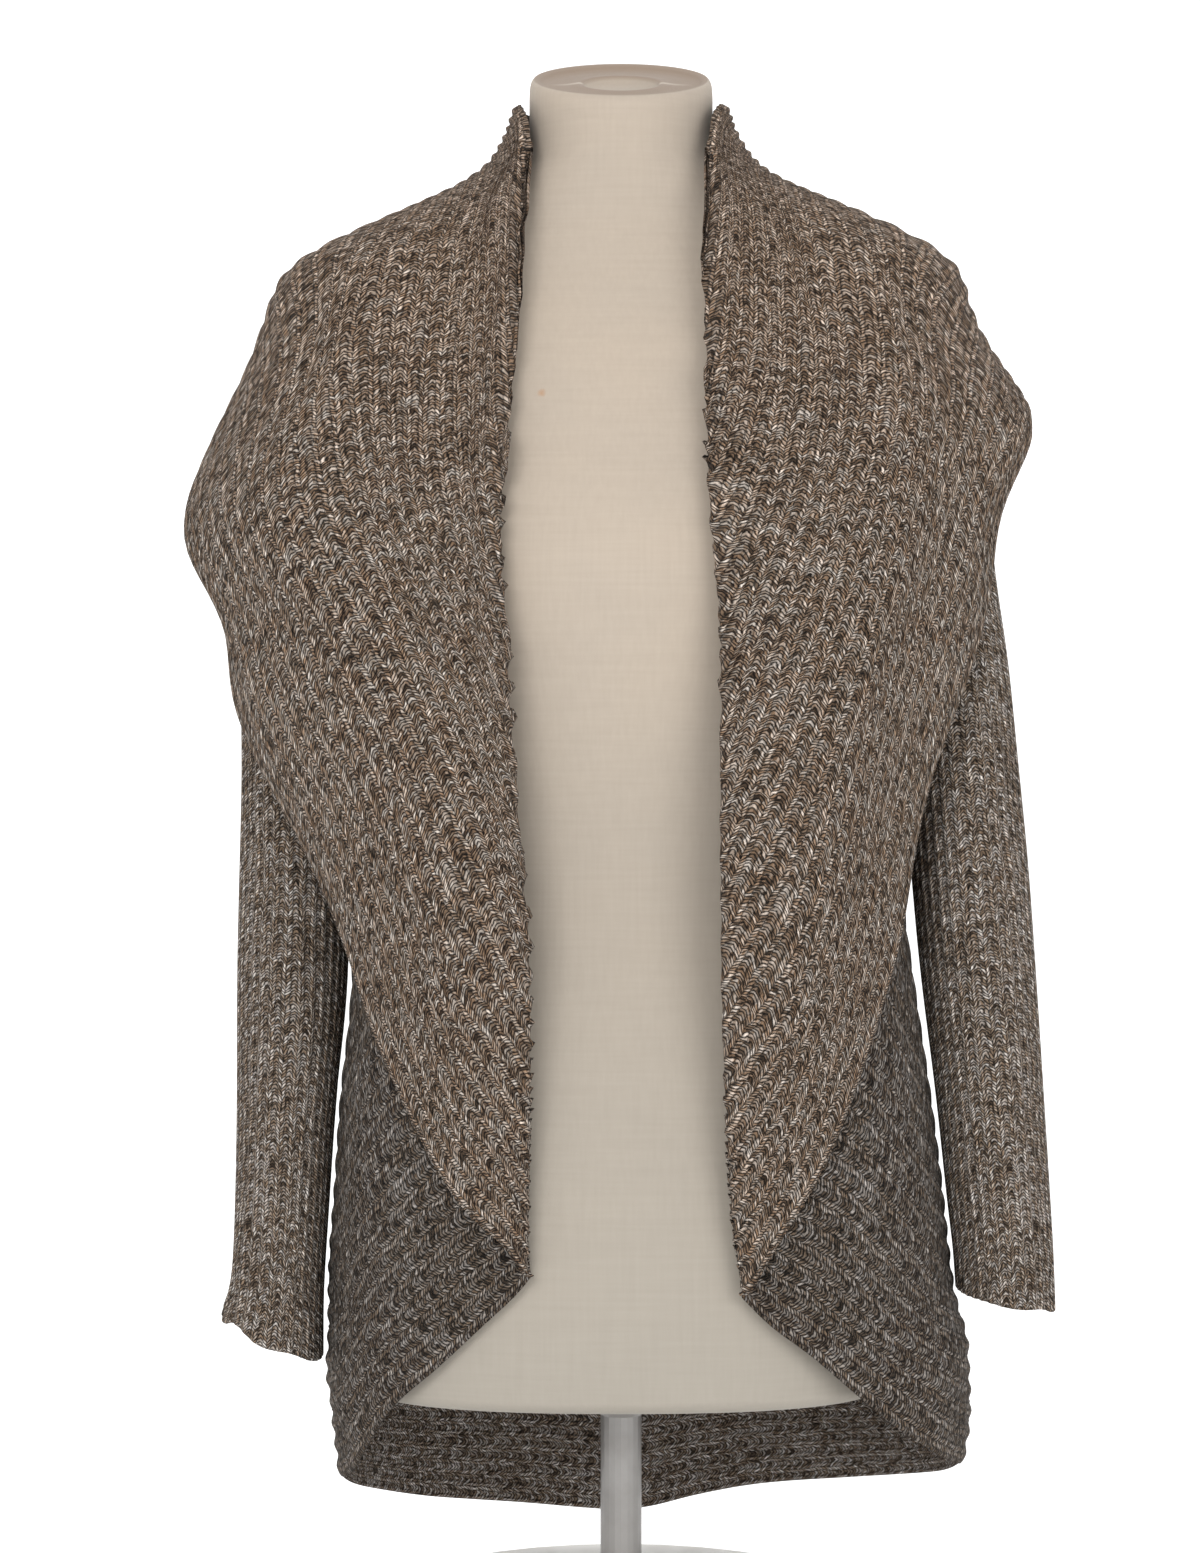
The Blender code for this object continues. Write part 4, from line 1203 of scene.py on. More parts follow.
    def mesh(self, outer: Array, inner: Array, uv: Array) -> bpy.types.Object:
        """One closed mesh from both faces of the cloth.

        Args:
            outer: (lines, stations, 3), the outside.
            inner: the same for the inside.
            uv: ribs and rows of stitches at each point.

        Returns:
            The object, at the origin.
        """
        lines, stations = outer.shape[:2]
        index = np.arange(lines * stations).reshape(lines, stations)
        corner = index.copy()
        if self.closed:
            index[-1] = index[0]
        turned = (cells(outer) * (outer - inner)[:-1, :-1]).sum() < 0
        below = lines * stations
        faces = [quads(index, turned), quads(index + below, not turned)]
        corners = [quads(corner, turned), quads(corner + below, not turned)]
        # The strips round the edges: where each lies, and whether it runs against the outside's cells.
        strips = [((slice(None), 0), False), ((slice(None), -1), True)]
        if not self.closed:
            strips += [((0, slice(None)), True), ((-1, slice(None)), False)]
        for where, against in strips:
            flip = turned == against
            faces.append(quads(np.stack((index[where], index[where] + below)), flip))
            corners.append(quads(np.stack((corner[where], corner[where] + below)), flip))
        uv = uv.reshape(-1, 2)
        uv = np.concatenate((uv, uv + INSIDE_SHIFT))[np.vstack(corners).reshape(-1)]
        points = np.vstack((outer.reshape(-1, 3), inner.reshape(-1, 3)))
        return solid(self.node + "_rib_knit", points, np.vstack(faces), uv)


def quads(grid: Array, flip: bool) -> Array:
    """Corners of the cells of a grid of numbers.

    Args:
        grid: the points' numbers.
        flip: the corners run the other way round.

    Returns:
        (count, 4), four numbers for each cell.
    """
    faces = np.stack((grid[:-1, :-1], grid[1:, :-1], grid[1:, 1:], grid[:-1, 1:]), axis=-1)
    faces = faces.reshape(-1, 4)
    return faces[:, ::-1] if flip else faces


def cells(points: Array) -> Array:
    """Cross product of the two edges that leave each cell's first corner, on a grid of points."""
    corner = points[:-1, :-1]
    return np.cross(points[1:, :-1] - corner, points[:-1, 1:] - corner)


def solid(name: str, points: Array, faces: Array, uv: Array | None = None) -> bpy.types.Object:
    """One smooth-shaded object from arrays; points that no face uses are left out.

    Args:
        name: the object's name.
        points: (count, 3), metres.
        faces: (count, corners), numbers of points.
        uv: a pair for each corner of each face.

    Returns:
        The object, linked to the scene, at the origin.
    """
    used, numbers = np.unique(faces, return_inverse=True)
    points = points[used]
    faces = numbers.reshape(faces.shape)
    mesh = bpy.data.meshes.new(name)
    mesh.vertices.add(len(points))
    mesh.vertices.foreach_set("co", points.astype(np.float32).ravel())
    mesh.loops.add(faces.size)
    mesh.loops.foreach_set("vertex_index", faces.astype(np.int32).ravel())
    mesh.polygons.add(len(faces))
    mesh.polygons.foreach_set("loop_start", np.arange(0, faces.size, faces.shape[1], dtype=np.int32))
    mesh.update(calc_edges=True)
    mesh.shade_smooth()
    if uv is not None:
        layer = mesh.uv_layers.new(name="knit")
        layer.data.foreach_set("uv", uv.astype(np.float32).ravel())
    mesh.validate()
    obj = bpy.data.objects.new(name, mesh)
    bpy.context.collection.objects.link(obj)
    return obj


# ---------------------------------------------------------------- surfaces of the pieces


def stations_from(count: int, near: float) -> Array:
    """Shares of a length, close together at its ends.

    Args:
        count: evenly spread shares.
        near: length of the close stretch at either end, as a share.

    Returns:
        Rising shares, from 0 to 1.
    """
    close = near * (np.arange(1, FINE_STATIONS + 1) / (FINE_STATIONS + 1)) ** FINE_SPREAD
    return np.unique(np.concatenate((np.linspace(0, 1, count), close, 1 - close)))


def fold_place(side: Side, girth: Array) -> Array:
    """Azimuth and girth of the fold line at girths."""
    line = FOLD_LINE[side]
    return np.stack((smooth(girth, line["girth"], line["azimuth"]), girth), axis=-1)


def fold_at(side: Side, share: Array, crossings: Columns) -> Array:
    """Azimuth and girth of the fold line at shares of the wales, which cross it as the table says."""
    return fold_place(side, smooth(share, crossings["share"], crossings["girth"]))


# How far the roll is set in from the fold line on the shawl layer, in millimetres: this leaves room
# for the turn under it and makes up for its start on the layer below.
FOLD_SET_IN = {
    Side.LEFT: table(("girth", "room"), (0, 5), (300, 5), (536, 7.8), (640, 7.2), (700, 6.2), (752, 3)),
    Side.RIGHT: table(("girth", "room"), (0, 4), (300, 4), (564, 4.2), (610, 6.8), (680, 6.6), (752, 3)),
}


@dataclass
class Shawl:
    """The lapel that folds back over the front and goes on round the neck to the back seam."""

    side: Side
    ribs: int = 26
    fine: tuple[float, ...] = (0, 0.0015, 0.004, 0.008, 0.013, 0.019, 0.026, 0.035)  # beside the fold
    even: tuple[float, float, int] = (0.045, 1.0, 96)  # first, last and count of the others
    last_fine: float = 0.9985  # before the cut edge
    shares: Array = field(init=False)
    guides: dict[float, tuple[Pair, ...]] = field(init=False)

    def __post_init__(self) -> None:
        """Sorts the guiding wales."""
        self.guides = SHAWL_GUIDES[self.side]
        self.shares = np.array(sorted(self.guides))

    def guide(self, share: float, along: Array) -> Array:
        """One guiding wale, read by shares of its length on the layer.

        The side seam lies at SIDE_STATION on every wale, and each part is spread evenly.

        Args:
            share: the wale's place across the ribs.
            along: shares of its length.

        Returns:
            Azimuth and girth at each of them.
        """
        places = np.array(self.guides[share], float)
        points = SHAWL.point(self.side.value * places[:, 0], places[:, 1])
        length = lengths(points, 0)
        to_side = length[int(np.argmax(places[:, 0] == SIDE))]
        front = length / to_side * SIDE_STATION
        behind = SIDE_STATION + (length - to_side) / (length[-1] - to_side) * (1 - SIDE_STATION)
        return smooth(along, np.where(length <= to_side, front, behind), places)

    def place(self, across: Array, along: Array) -> Array:
        """Where the cloth lies: between the guides, and near the fold line drawn to it.

        Args:
            across: shares of the way across the ribs, from 0 to 1.
            along: shares of the ribs' length.

        Returns:
            Azimuth and girth on the grid.
        """
        curves = np.stack([self.guide(share, along) for share in self.shares])
        starts = np.array([self.guides[share][0] for share in self.shares], float)
        pull = np.clip(1 - along / FOLD_HOLD, 0, 1) ** 2
        fold = fold_at(self.side, across, FOLD_CROSSINGS[self.side])
        off_fold = fold - smooth(across, self.shares, starts)
        return smooth(across, self.shares, curves) + off_fold[:, None] * pull[None, :, None]

    def surface(self, across: Array, along: Array) -> Array:
        """The shawl's cloth: on the shawl layer, but for a quarter roll up to it from the body layer.

        With d the distance to the fold line over the roll's radius, the cloth has risen by
        sqrt(1 - (1 - d)^2). It is set in from the fold line by the room for the turn under the roll
        times (1 - r)^2, with r the distance over the reach.

        Args:
            across: shares of the way across the ribs, from 0 to 1.
            along: shares of the ribs' length.

        Returns:
            Points of the cloth, in metres.
        """
        ends = FOLD_LINE[self.side]["girth"]
        front_fold = fold_place(self.side, np.linspace(ends[0], ends[-1], FOLD_SAMPLES[0]))
        neck_azimuth = np.linspace(front_fold[-1, 0], 180, FOLD_SAMPLES[1])
        neck_girth = np.full(FOLD_SAMPLES[1], SHAWL_RINGS["girth"][-1])
        fold = np.vstack((front_fold, np.stack((neck_azimuth, neck_girth), axis=-1)))
        fold_azimuth = self.side.value * fold[:, 0]
        fold_line = SHAWL.point(fold_azimuth, fold[:, 1])
        tangent = unit(np.gradient(fold_line, axis=0))
        inwards = self.side.value * np.cross(tangent, SHAWL.outward(fold_azimuth, fold[:, 1]))
        set_in = FOLD_SET_IN[self.side]
        room = inwards * (smooth(fold[:, 1], set_in["girth"], set_in["room"]) * MM)[:, None]
        place = self.place(across, along)
        azimuth = self.side.value * place[..., 0] * (1 - BACK_SEAM / 180)
        over = SHAWL.point(azimuth, place[..., 1])
        under = BODY.point(azimuth, place[..., 1]) + BODY.outward(azimuth, place[..., 1]) * LAP_GAP
        rise = np.empty(over.shape[:2])
        shift = np.empty(over.shape)
        for line in range(len(over)):
            away = np.linalg.norm(over[line, :, None] - fold_line[None], axis=-1)
            nearest = away.argmin(axis=-1)
            away = away.min(axis=-1)
            rise[line] = np.sqrt(1 - (1 - np.clip(away / FOLD_RADIUS, 0, 1)) ** 2)
            shift[line] = room[nearest] * ((1 - np.clip(away / LIP_REACH, 0, 1)) ** 2)[:, None]
        return under + (over - under) * rise[..., None] + shift

    @staticmethod
    def turn_at(girth: Array) -> Array:
        """How whole the turn under the roll is at a girth: 1 on the front, and 0 up the neck."""
        low, high = NECK_TURN
        return 1 - np.clip((girth - low) / (high - low), 0, 1)

    def lip(self, points: Array, square: Array) -> Array:
        """The turn under the roll: a quarter circle that goes down and back behind its edge.

        Args:
            points: the grid of the cloth, whose first station is the fold.
            square: its outward normals.

        Returns:
            Stations from the hidden end of the turn to the fold, the fold included.
        """
        fold = points[:, 0]
        rim = unit(np.gradient(fold, axis=0))
        up = self.side.value * np.cross(rim, square[:, 0])
        aside = -square[:, 0]
        girth = (fold[:, 2] - FORM_BASE) / MM
        radius = (LIP_RADIUS * (LIP_LEAST + (1 - LIP_LEAST) * self.turn_at(girth)))[:, None, None]
        turn = np.linspace(math.pi / 2, 0, LIP_STATIONS + 1)[None, :, None]
        down = -up[:, None] * np.sin(turn) * radius
        back = aside[:, None] * (1 - np.cos(turn)) * radius
        return fold[:, None] + down + back

    def piece(self) -> RibPiece:
        """The shawl's cut, with the soft creases of its weight hanging from the shoulder.

        Returns:
            The piece, which is still to be built.
        """
        even = np.linspace(*self.even)
        word = self.side.word
        return RibPiece(
            node=word + "_shawl",
            slot="shawl_knit",
            finish=SHAWL_RIB,
            ribs=self.ribs,
            surface=self.surface,
            stations=np.concatenate((self.fine, even[:-1], (self.last_fine, even[-1]))),
            flat=(0.36, 0.62),
            area=0.185,
            hang=Hang.FOLDED,
            rests_on=(word + "_front", "back_panel"),
            creases=SHAWL_CREASES[self.side],
            cut_along=(False, True),
            lip=self.lip,
        )


SHAWL_CREASES = {
    Side.LEFT: creases(
        (0.62, 0.14, 0.40, 0.50, 16, -3.2),
        (0.50, 0.10, 0.26, 0.46, 20, 2.4),
        (0.30, 0.06, 0.10, 0.34, 15, -2.2),
        (0.80, 0.20, 0.66, 0.52, 13, -1.8),
        (0.16, 0.30, 0.05, 0.56, 14, 2.2),
        (0.72, 0.60, 0.40, 0.80, 18, -2.6),
        (0.50, 0.62, 0.16, 0.90, 20, 2.4),
    ),
    Side.RIGHT: creases(
        (0.66, 0.12, 0.48, 0.48, 15, -2.8),
        (0.44, 0.12, 0.24, 0.52, 19, 2.6),
        (0.26, 0.05, 0.08, 0.38, 16, -2.4),
        (0.84, 0.22, 0.70, 0.50, 12, -1.6),
        (0.20, 0.34, 0.06, 0.60, 15, 2.0),
        (0.66, 0.62, 0.30, 0.86, 19, -2.4),
        (0.44, 0.60, 0.12, 0.80, 16, 2.0),
    ),
}


def side_azimuth(girth: Array) -> Array:
    """Azimuth of a panel's side edge: the side seam, cut back round the armhole."""
    reach = (girth - ARMHOLE_HEIGHT) / ARMHOLE_HALF_HEIGHT
    return SIDE - ARMHOLE_HALF_ANGLE * np.sqrt(np.clip(1 - reach**2, 0, 1))


@dataclass
class Front:
    """Front panel under the shawl, with slanting ribs and a slanting hem."""

    side: Side
    ribs: int = 38
    set_back_at: tuple[float, ...] = (0, 0.3, 0.86, 1)  # shares of the wales, from hem to neck
    set_back: tuple[float, ...] = (1.2, 7.5, 7.5, 15)  # azimuth of its edge behind the fold there

    def side_place(self, share: Array) -> Array:
        """Where the side edge lies: at the side seam, cut back round the armhole.

        Args:
            share: shares of the way across the ribs.

        Returns:
            Azimuth and girth at each of them.
        """
        girth = FRONT_HEM[self.side]["girth"][-1]
        girth = girth + smooth(share, SIDE_CROSSINGS["share"], SIDE_CROSSINGS["girth"])
        return np.stack((side_azimuth(girth) - SIDE_SEAM, girth), axis=-1)

    def surface(self, across: Array, along: Array) -> Array:
        """The front's cloth, spread evenly between fold line, side seam, hem and shoulder seam.

        A place is the sum of what lies between the two long edges and between the two short ones,
        less what lies between the four corners.

        Args:
            across: shares of the way across the ribs, from 0 to 1.
            along: shares of the ribs' length.

        Returns:
            Points of the cloth, in metres.
        """
        hem = FRONT_HEM[self.side]
        crossings = FRONT_CROSSINGS[self.side]
        hem_azimuth = hem["azimuth"][0] + along * (SIDE - SIDE_SEAM - hem["azimuth"][0])
        low = np.stack((hem_azimuth, smooth(hem_azimuth, hem["azimuth"], hem["girth"])), axis=-1)[None]
        neck = fold_at(self.side, np.ones(1), crossings)[0]
        shoulder = self.side_place(np.ones(1))[0]
        turn = smooth(along, SHOULDER_SEAM["share"], SHOULDER_SEAM["turn"])
        high = (neck + np.stack((turn, along), axis=-1) * (shoulder - neck))[None]
        behind = np.interp(across, self.set_back_at, self.set_back)
        fold = fold_at(self.side, across, crossings)
        fold = np.stack((fold[:, 0] + behind, fold[:, 1]), axis=-1)[:, None]
        far = self.side_place(across)[:, None]
        a = across[:, None, None]
        b = along[None, :, None]
        low_corners = (1 - b) * low[:, :1] + b * low[:, -1:]
        high_corners = (1 - b) * high[:, :1] + b * high[:, -1:]
        place = (1 - b) * fold + b * far + (1 - a) * (low - low_corners) + a * (high - high_corners)
        return BODY.point(self.side.value * place[..., 0], place[..., 1])

    def piece(self) -> RibPiece:
        """The front's cut, whose hidden edge lies a little behind the fold.

        Returns:
            The piece, which is still to be built.
        """
        word = self.side.word
        return RibPiece(
            node=word + "_front",
            slot="front_knit",
            finish=FRONT_RIB,
            ribs=self.ribs,
            surface=self.surface,
            stations=stations_from(64, 0.012),
            flat=(0.62, 0.30),
            area=0.118,
            creases=FRONT_CREASES[self.side],
        )


FRONT_CREASES = {
    Side.LEFT: creases(
        (0.10, 0.35, 0.26, 0.92, 14, -2.2),
        (0.04, 0.60, 0.16, 0.96, 12, 2.0),
    ),
    Side.RIGHT: creases(
        (0.12, 0.30, 0.24, 0.90, 14, -2.0),
        (0.05, 0.55, 0.18, 0.96, 13, 2.2),
    ),
}


@dataclass
class Back:
    """Back panel with upright ribs, from the hem band to the shoulders."""

    ribs: int = 54

    def surface(self, across: Array, along: Array) -> Array:
        """The back's cloth: across runs round the back between the side seams, along runs up.

        Args:
            across: shares of the way across the ribs, from 0 to 1.
            along: shares of the ribs' length.

        Returns:
            Points of the cloth, in metres.
        """
        girth = (BACK_LOW + along * (NECK_SEAM - BACK_LOW))[None, :]
        edge = side_azimuth(girth) - SIDE_SEAM
        azimuth = -180 - (across[:, None] * 2 - 1) * edge
        return BODY.point(azimuth, np.broadcast_to(girth, azimuth.shape))

    def piece(self) -> RibPiece:
        """The back panel's cut.

        Returns:
            The piece, which is still to be built.
        """
        return RibPiece(
            node="back_panel",
            slot="back_knit",
            finish=BACK_RIB,
            ribs=self.ribs,
            surface=self.surface,
            stations=stations_from(84, 0.006),
            flat=(0.46, 0.70),
            area=0.29,
            samples=6,
            creases=creases(
                (0.30, 0.06, 0.36, 0.44, 18, -2.6),
                (0.42, 0.02, 0.45, 0.36, 15, 2.0),
                (0.58, 0.04, 0.55, 0.46, 17, -2.2),
                (0.74, 0.08, 0.68, 0.40, 15, 2.2),
                (0.16, 0.10, 0.22, 0.34, 14, 1.8),
            ),
        )


def round_the_back(along: Array, seam: float) -> Array:
    """Azimuths from the left side round the middle of the back to the right side."""
    return -SIDE - seam - along * 2 * (SIDE - seam)


@dataclass
class HemBand:
    """Deep band at the back hem, whose ribs run round the body."""

    ribs: int = 18

    def surface(self, across: Array, along: Array) -> Array:
        """The band's cloth: across runs up from the hem's edge, along runs round the back.

        Args:
            across: shares of the way across the ribs, from 0 to 1.
            along: shares of the ribs' length.

        Returns:
            Points of the cloth, in metres.
        """
        azimuth = round_the_back(along, SIDE_SEAM)[None, :]
        low = smooth(azimuth, BACK_HEM["azimuth"], BACK_HEM["girth"])
        girth = low + across[:, None] * (HEM_BAND_TOP - low)
        return BODY.point(np.broadcast_to(azimuth, girth.shape), girth)

    def piece(self) -> RibPiece:
        """The hem band's cut.

        Returns:
            The piece, which is still to be built.
        """
        return RibPiece(
            node="back_hem_band",
            slot="hem_knit",
            finish=HEM_RIB,
            ribs=self.ribs,
            surface=self.surface,
            stations=stations_from(150, 0.008),
            flat=(0.135, 0.50),
            area=0.064,
            rests_on=("back_panel_rib_knit",),
            creases=creases(
                (0.0, 0.28, 0.8, 0.30, 14, -2.2),
                (0.0, 0.52, 0.7, 0.50, 12, 2.2),
                (0.0, 0.74, 0.8, 0.71, 14, -2.0),
            ),
        )


@dataclass
class NeckStand:
    """Inner layer of the collar, behind the neck."""

    ribs: int = 6
    end_gap: float = 0.35  # azimuth that both its ends keep clear of the sides

    def surface(self, across: Array, along: Array) -> Array:
        """The stand's cloth: across runs up to the collar's fold, along runs round the neck.

        Args:
            across: shares of the way across the ribs, from 0 to 1.
            along: shares of the ribs' length.

        Returns:
            Points of the cloth, in metres.
        """
        girth = (STAND_LOW + across * (COLLAR_TOP - STAND_LOW))[:, None]
        azimuth = round_the_back(along, self.end_gap)[None, :]
        return BODY.point(*np.broadcast_arrays(azimuth, girth))

    def piece(self) -> RibPiece:
        """The neck stand's cut.

        Returns:
            The piece, which is still to be built.
        """
        return RibPiece(
            node="neck_stand",
            slot="collar_knit",
            finish=COLLAR_RIB,
            ribs=self.ribs,
            surface=self.surface,
            stations=stations_from(60, 0.012),
            flat=(0.048, 0.20),
            settling=(4, 2),
        )


@dataclass
class Sleeve:
    """Long sleeve with ribs along it, open at the cuff."""

    side: Side
    ribs: int = 30

    def surface(self, across: Array, along: Array) -> Array:
        """The sleeve's cloth: slanted oval rings, the first of them on the body inside the armhole.

        A ring runs from its outer line (cosine 1) to its inner line (cosine -1) in x and height, and
        by the sine in y; both are raised to a power below 1, which makes the oval fuller.

        Args:
            across: shares of the way across the ribs, from 0 to 1.
            along: shares of the ribs' length.

        Returns:
            Points of the cloth, in metres.
        """
        rings = SLEEVE_RINGS[self.side]
        count = len(rings["outer_x"])
        turn = (across * 2 * math.pi)[:, None]
        azimuth = SIDE + (ARMHOLE_HALF_ANGLE - SLEEVE_INSIDE[1]) * np.sin(turn)
        girth = ARMHOLE_HEIGHT + (ARMHOLE_HALF_HEIGHT - SLEEVE_INSIDE[0]) * np.cos(turn)
        azimuth = self.side.value * azimuth
        armhole = BODY.point(azimuth, girth) + BODY.outward(azimuth, girth) * LAP_GAP
        station = along * count - 1
        row = {name: smooth(station, np.arange(count), rings[name]) * MM for name in SLEEVE_COLUMNS}
        middle_x = (row["outer_x"] + row["inner_x"]) / 2
        middle_z = (row["outer_z"] + row["inner_z"]) / 2 + FORM_BASE
        crown = np.sign(np.cos(turn)) * abs(np.cos(turn)) ** SLEEVE_CROWN
        cheek = np.sign(np.sin(turn)) * abs(np.sin(turn)) ** SLEEVE_CHEEK
        x = self.side.value * (middle_x + (row["outer_x"] - row["inner_x"]) / 2 * crown)
        z = middle_z + (row["outer_z"] - row["inner_z"]) / 2 * np.cos(turn)
        y = row["middle_y"] + row["half_depth"] * cheek
        flare = np.clip(station - (count - 2), 0, 1) * CUFF_WAVE[self.side]
        z = z + flare * np.sin(CUFF_WAVES * turn) * (1 + np.cos(turn)) / 2
        ring = np.stack((x, y, z), axis=-1)
        first = np.clip(-station, 0, 1)[None, :, None]
        return ring * (1 - first) + armhole * first

    def piece(self) -> RibPiece:
        """The sleeve's cut.

        Returns:
            The piece, which is still to be built.
        """
        word = self.side.word
        return RibPiece(
            node=word + "_sleeve",
            slot="sleeve_knit",
            finish=SLEEVE_RIB,
            ribs=self.ribs,
            surface=self.surface,
            stations=stations_from(96, 0.008),
            flat=(0.26, 0.60),
            area=0.125,
            rests_on=(word + "_front", "back_panel"),
            closed=True,
            creases=SLEEVE_CREASES[self.side],
            settling=(30, 6),
        )


SLEEVE_CREASES = {
    Side.LEFT: creases(
        (0.92, 0.62, 0.66, 0.70, 12, -2.2),
        (0.80, 0.70, 0.60, 0.80, 14, 1.8),
        (0.74, 0.86, 0.72, 0.99, 10, -2.6),
        (0.86, 0.84, 0.85, 0.99, 10, 2.2),
        (0.20, 0.60, 0.42, 0.68, 12, -2.0),
        (0.28, 0.74, 0.46, 0.80, 13, -1.6),
    ),
    Side.RIGHT: creases(
        (0.94, 0.58, 0.70, 0.66, 12, -2.0),
        (0.86, 0.74, 0.64, 0.80, 13, 1.6),
        (0.76, 0.88, 0.74, 0.99, 10, -2.0),
        (0.22, 0.62, 0.44, 0.70, 12, -2.0),
        (0.26, 0.80, 0.42, 0.86, 13, 1.6),
    ),
}


# ---------------------------------------------------------------- the form and its stand


@dataclass
class DressForm:
    """The covered form: one smooth skin from its base over the shoulders to the dished neck cap."""

    segments: int = 144
    rows: int = 170
    base_rows: int = 9  # extra rows round the base
    rim_rows: int = 20  # extra rows from the lean of the neck to its rim
    cap_rows: int = 48
    underside: float = 0.02  # radius of the innermost ring below, as a share of the base's

    def build(self) -> bpy.types.Object:
        """Makes the skin from level sections; above the shoulders they lean forward.

        A point of the neck drops by its distance in front of the axis times the tilt's tangent.

        Returns:
            The piece.
        """
        azimuth = np.arange(self.segments) * 360.0 / self.segments
        rim = FORM_RINGS["girth"][-1]
        even = np.linspace(0, rim, self.rows)
        near_base = np.linspace(0, ROUND_BASE, self.base_rows)
        near_rim = np.linspace(NECK_TILT_WHOLE, rim, self.rim_rows)
        girth = np.unique(np.concatenate((even, near_base, near_rim)))
        rings = FORM.point(*np.broadcast_arrays(azimuth[None, :], girth[:, None]))
        rings[1:-1] = (rings[:-2] + 2 * rings[1:-1] + rings[2:]) / 4
        turn = np.radians(azimuth)
        order = np.arange(len(CAP["radius"]))
        place = np.linspace(0, order[-1], self.cap_rows)[:, None]
        radius = smooth(place, order, CAP["radius"]) * MM
        top = FORM_BASE + (FORM_RINGS["height"][-1] - smooth(place, order, CAP["below"])) * MM
        cap = np.stack(np.broadcast_arrays(radius * np.sin(turn), radius * -np.cos(turn), top), axis=-1)
        under = rings[:1] * (self.underside, self.underside, 1.0)
        points = np.concatenate((under, rings, cap))
        above = (points[..., 2] - FORM_BASE) / MM
        lean = smooth(above, (NECK_TILT_FROM, NECK_TILT_WHOLE), (0.0, 1.0))
        points[..., 2] += lean * math.tan(NECK_TILT) * points[..., 1]
        index = np.arange(points.shape[0] * self.segments).reshape(-1, self.segments)
        index = np.hstack((index, index[:, :1]))
        faces = np.stack((index[:-1, :-1], index[:-1, 1:], index[1:, 1:], index[1:, :-1]), axis=-1)
        obj = solid("dress_form_cover", points.reshape(-1, 3), faces.reshape(-1, 4))
        close_ends(obj)
        obj.data.materials.append(WovenCover().material())
        LOG.info("%s: %d points", obj.name, len(obj.data.vertices))
        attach(obj, ONLY_BODY)
        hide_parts("dress_form")
        return obj


def close_ends(obj: bpy.types.Object) -> None:
    """Fills the openings at both ends of a turned skin and turns its faces outwards.

    Args:
        obj: the skin.
    """
    work = bmesh.new()
    work.from_mesh(obj.data)
    loose = [edge for edge in work.edges if edge.is_boundary]
    bmesh.ops.holes_fill(work, edges=loose)
    bmesh.ops.recalc_face_normals(work, faces=work.faces)
    work.to_mesh(obj.data)
    work.free()


@dataclass
class Stand:
    """Post with its flange under the form, on a round foot: both keep their own solids."""

    post: Paint = Paint("grey_lacquered_post", (0.30, 0.29, 0.28), (0.22, 0.21, 0.20), 0.36, 0.6)
    foot: Paint = Paint("cream_enamel_foot", (0.66, 0.64, 0.60), (0.58, 0.555, 0.51), 0.3, 0.0)

    def dress(self) -> None:
        """Gives both solids their finish."""
        for node, paint in (("stand_post", self.post), ("stand_foot", self.foot)):
            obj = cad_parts[node]
            obj.data.materials.clear()
            obj.data.materials.append(paint.material())
            LOG.info("%s: dressed", node)


# ---------------------------------------------------------------- floor, light and camera


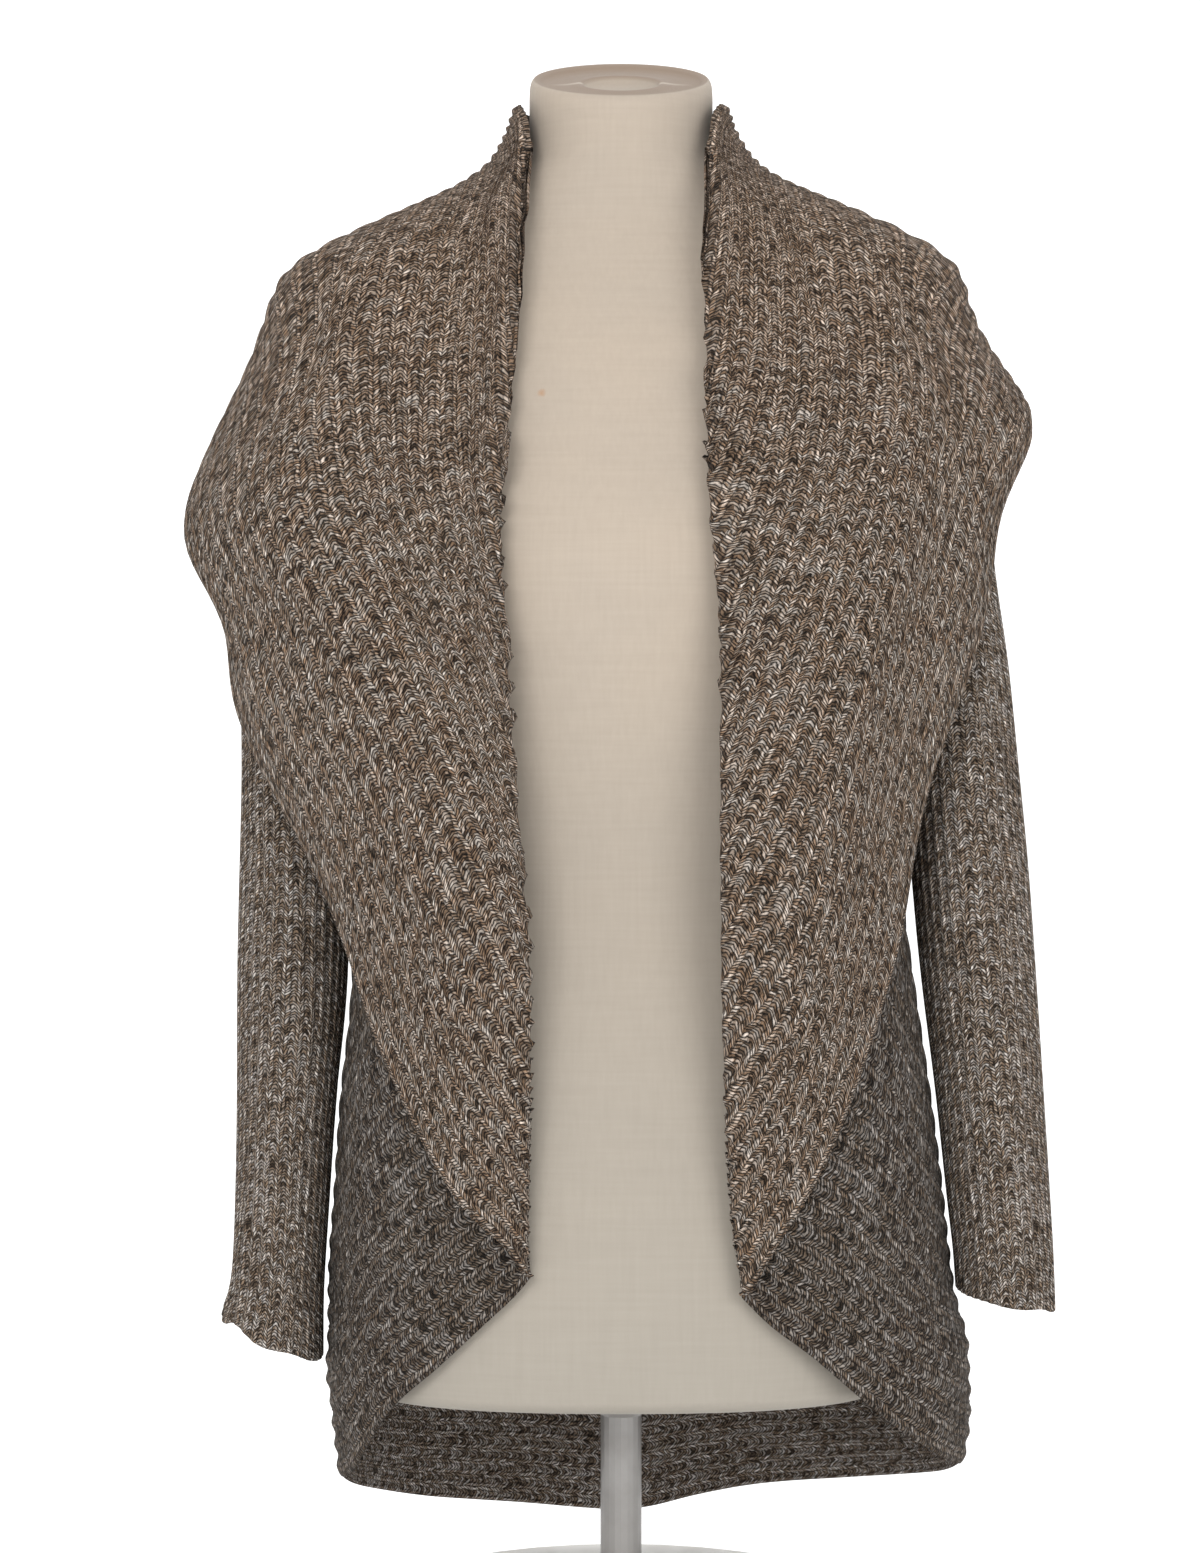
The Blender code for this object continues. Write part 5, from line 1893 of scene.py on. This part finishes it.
@dataclass
class Studio:
    """Pale sweep, soft lights and the camera at the photograph's angle."""

    eye: Place = (-0.0123, -2.2, 0.486)
    lens: float = 87.157  # millimetres
    sensor: float = 36.0  # its width, in millimetres
    nearest: float = -6.0  # y of the sweep's near edge
    sweep_start: float = 3.6
    sweep_radius: float = 0.9
    sweep_rows: int = 24
    half_width: float = 8.0
    top: float = 4.0
    paper: tuple[Colour, Colour] = ((0.90, 0.90, 0.90), (0.93, 0.93, 0.93))
    glow: float = 0.45  # light of its own that the paper gives
    air: float = 0.6  # strength of the light from all round
    aim: Place = (0, 0, 0.5)  # where the lights face

    def floor(self) -> None:
        """A floor that bends up into a wall: a straight run, a quarter circle and a straight run."""
        turn = np.linspace(0, math.pi / 2, self.sweep_rows)
        bend = self.sweep_start + self.sweep_radius * np.sin(turn)
        y = np.concatenate(((self.nearest,), bend, bend[-1:]))
        z = np.concatenate(((0,), self.sweep_radius * (1 - np.cos(turn)), (self.top,)))
        low = np.stack((np.full(y.shape, -self.half_width), y, z), axis=-1)
        high = low * (-1, 1, 1)
        count = len(y)
        first = np.arange(count - 1)
        faces = np.stack((first, first + count, first + count + 1, first + 1), axis=-1)
        obj = solid("pale_sweep", np.vstack((low, high)), faces)
        finish = Finish("pale_sweep_paper")
        grain = finish.cloud(finish.node("ShaderNodeTexCoord", output="Object"), 60.0)
        paper = finish.mix(grain, *self.paper)
        obj.data.materials.append(finish.dress(
            Base_Color=paper, Roughness=0.95, Specular_IOR_Level=0.1,
            Emission_Color=paper, Emission_Strength=self.glow,
        ))

    def light(self, name: str, place: Place, size: float, power: float) -> None:
        """A square soft box that faces the middle of the garment.

        Args:
            name: the light's name.
            place: where it hangs.
            size: its side, in metres.
            power: in watts.
        """
        data = bpy.data.lights.new(name, "AREA")
        data.size = size
        data.energy = power
        obj = bpy.data.objects.new(name, data)
        obj.location = place
        towards = np.array(self.aim) - np.array(place)
        yaw = math.atan2(towards[0], -towards[1])
        pitch = math.atan2(-towards[2], math.hypot(towards[0], towards[1]))
        obj.rotation_euler = (math.pi / 2 - pitch, 0, math.pi + yaw)
        bpy.context.collection.objects.link(obj)

    def set_up(self) -> None:
        """Places everything that isn't part of the object."""
        self.floor()
        self.light("key_soft_box", (-1.0, -2.9, 1.7), 1.6, 56)
        self.light("fill_soft_box", (1.6, -2.5, 1.1), 1.8, 34)
        self.light("top_soft_box", (0.0, 0.5, 2.9), 2.2, 22)
        world = bpy.data.worlds.new("studio_air")
        world.use_nodes = True
        air = world.node_tree.nodes["Background"].inputs
        air["Color"].default_value = (1.0, 1.0, 1.0, 1.0)
        air["Strength"].default_value = self.air
        scene = bpy.context.scene
        scene.world = world
        scene.view_settings.view_transform = "Standard"
        data = bpy.data.cameras.new("camera")
        data.lens = self.lens
        data.sensor_width = self.sensor
        camera = bpy.data.objects.new("camera", data)
        camera.location = self.eye
        camera.rotation_euler = (math.pi / 2, 0, 0)
        bpy.context.collection.objects.link(camera)
        scene.camera = camera


def main() -> None:
    """Builds every piece from the inside out, then the studio round them."""
    logging.basicConfig(level=logging.INFO, format="%(name)s: %(message)s")
    DressForm().build()
    Stand().dress()
    for side in Side:
        Front(side).piece().build()
        Sleeve(side).piece().build()
    Back().piece().build()
    HemBand().piece().build()
    NeckStand().piece().build()
    for side in Side:
        Shawl(side).piece().build()
    Studio().set_up()


if __name__ == "__main__":
    main()
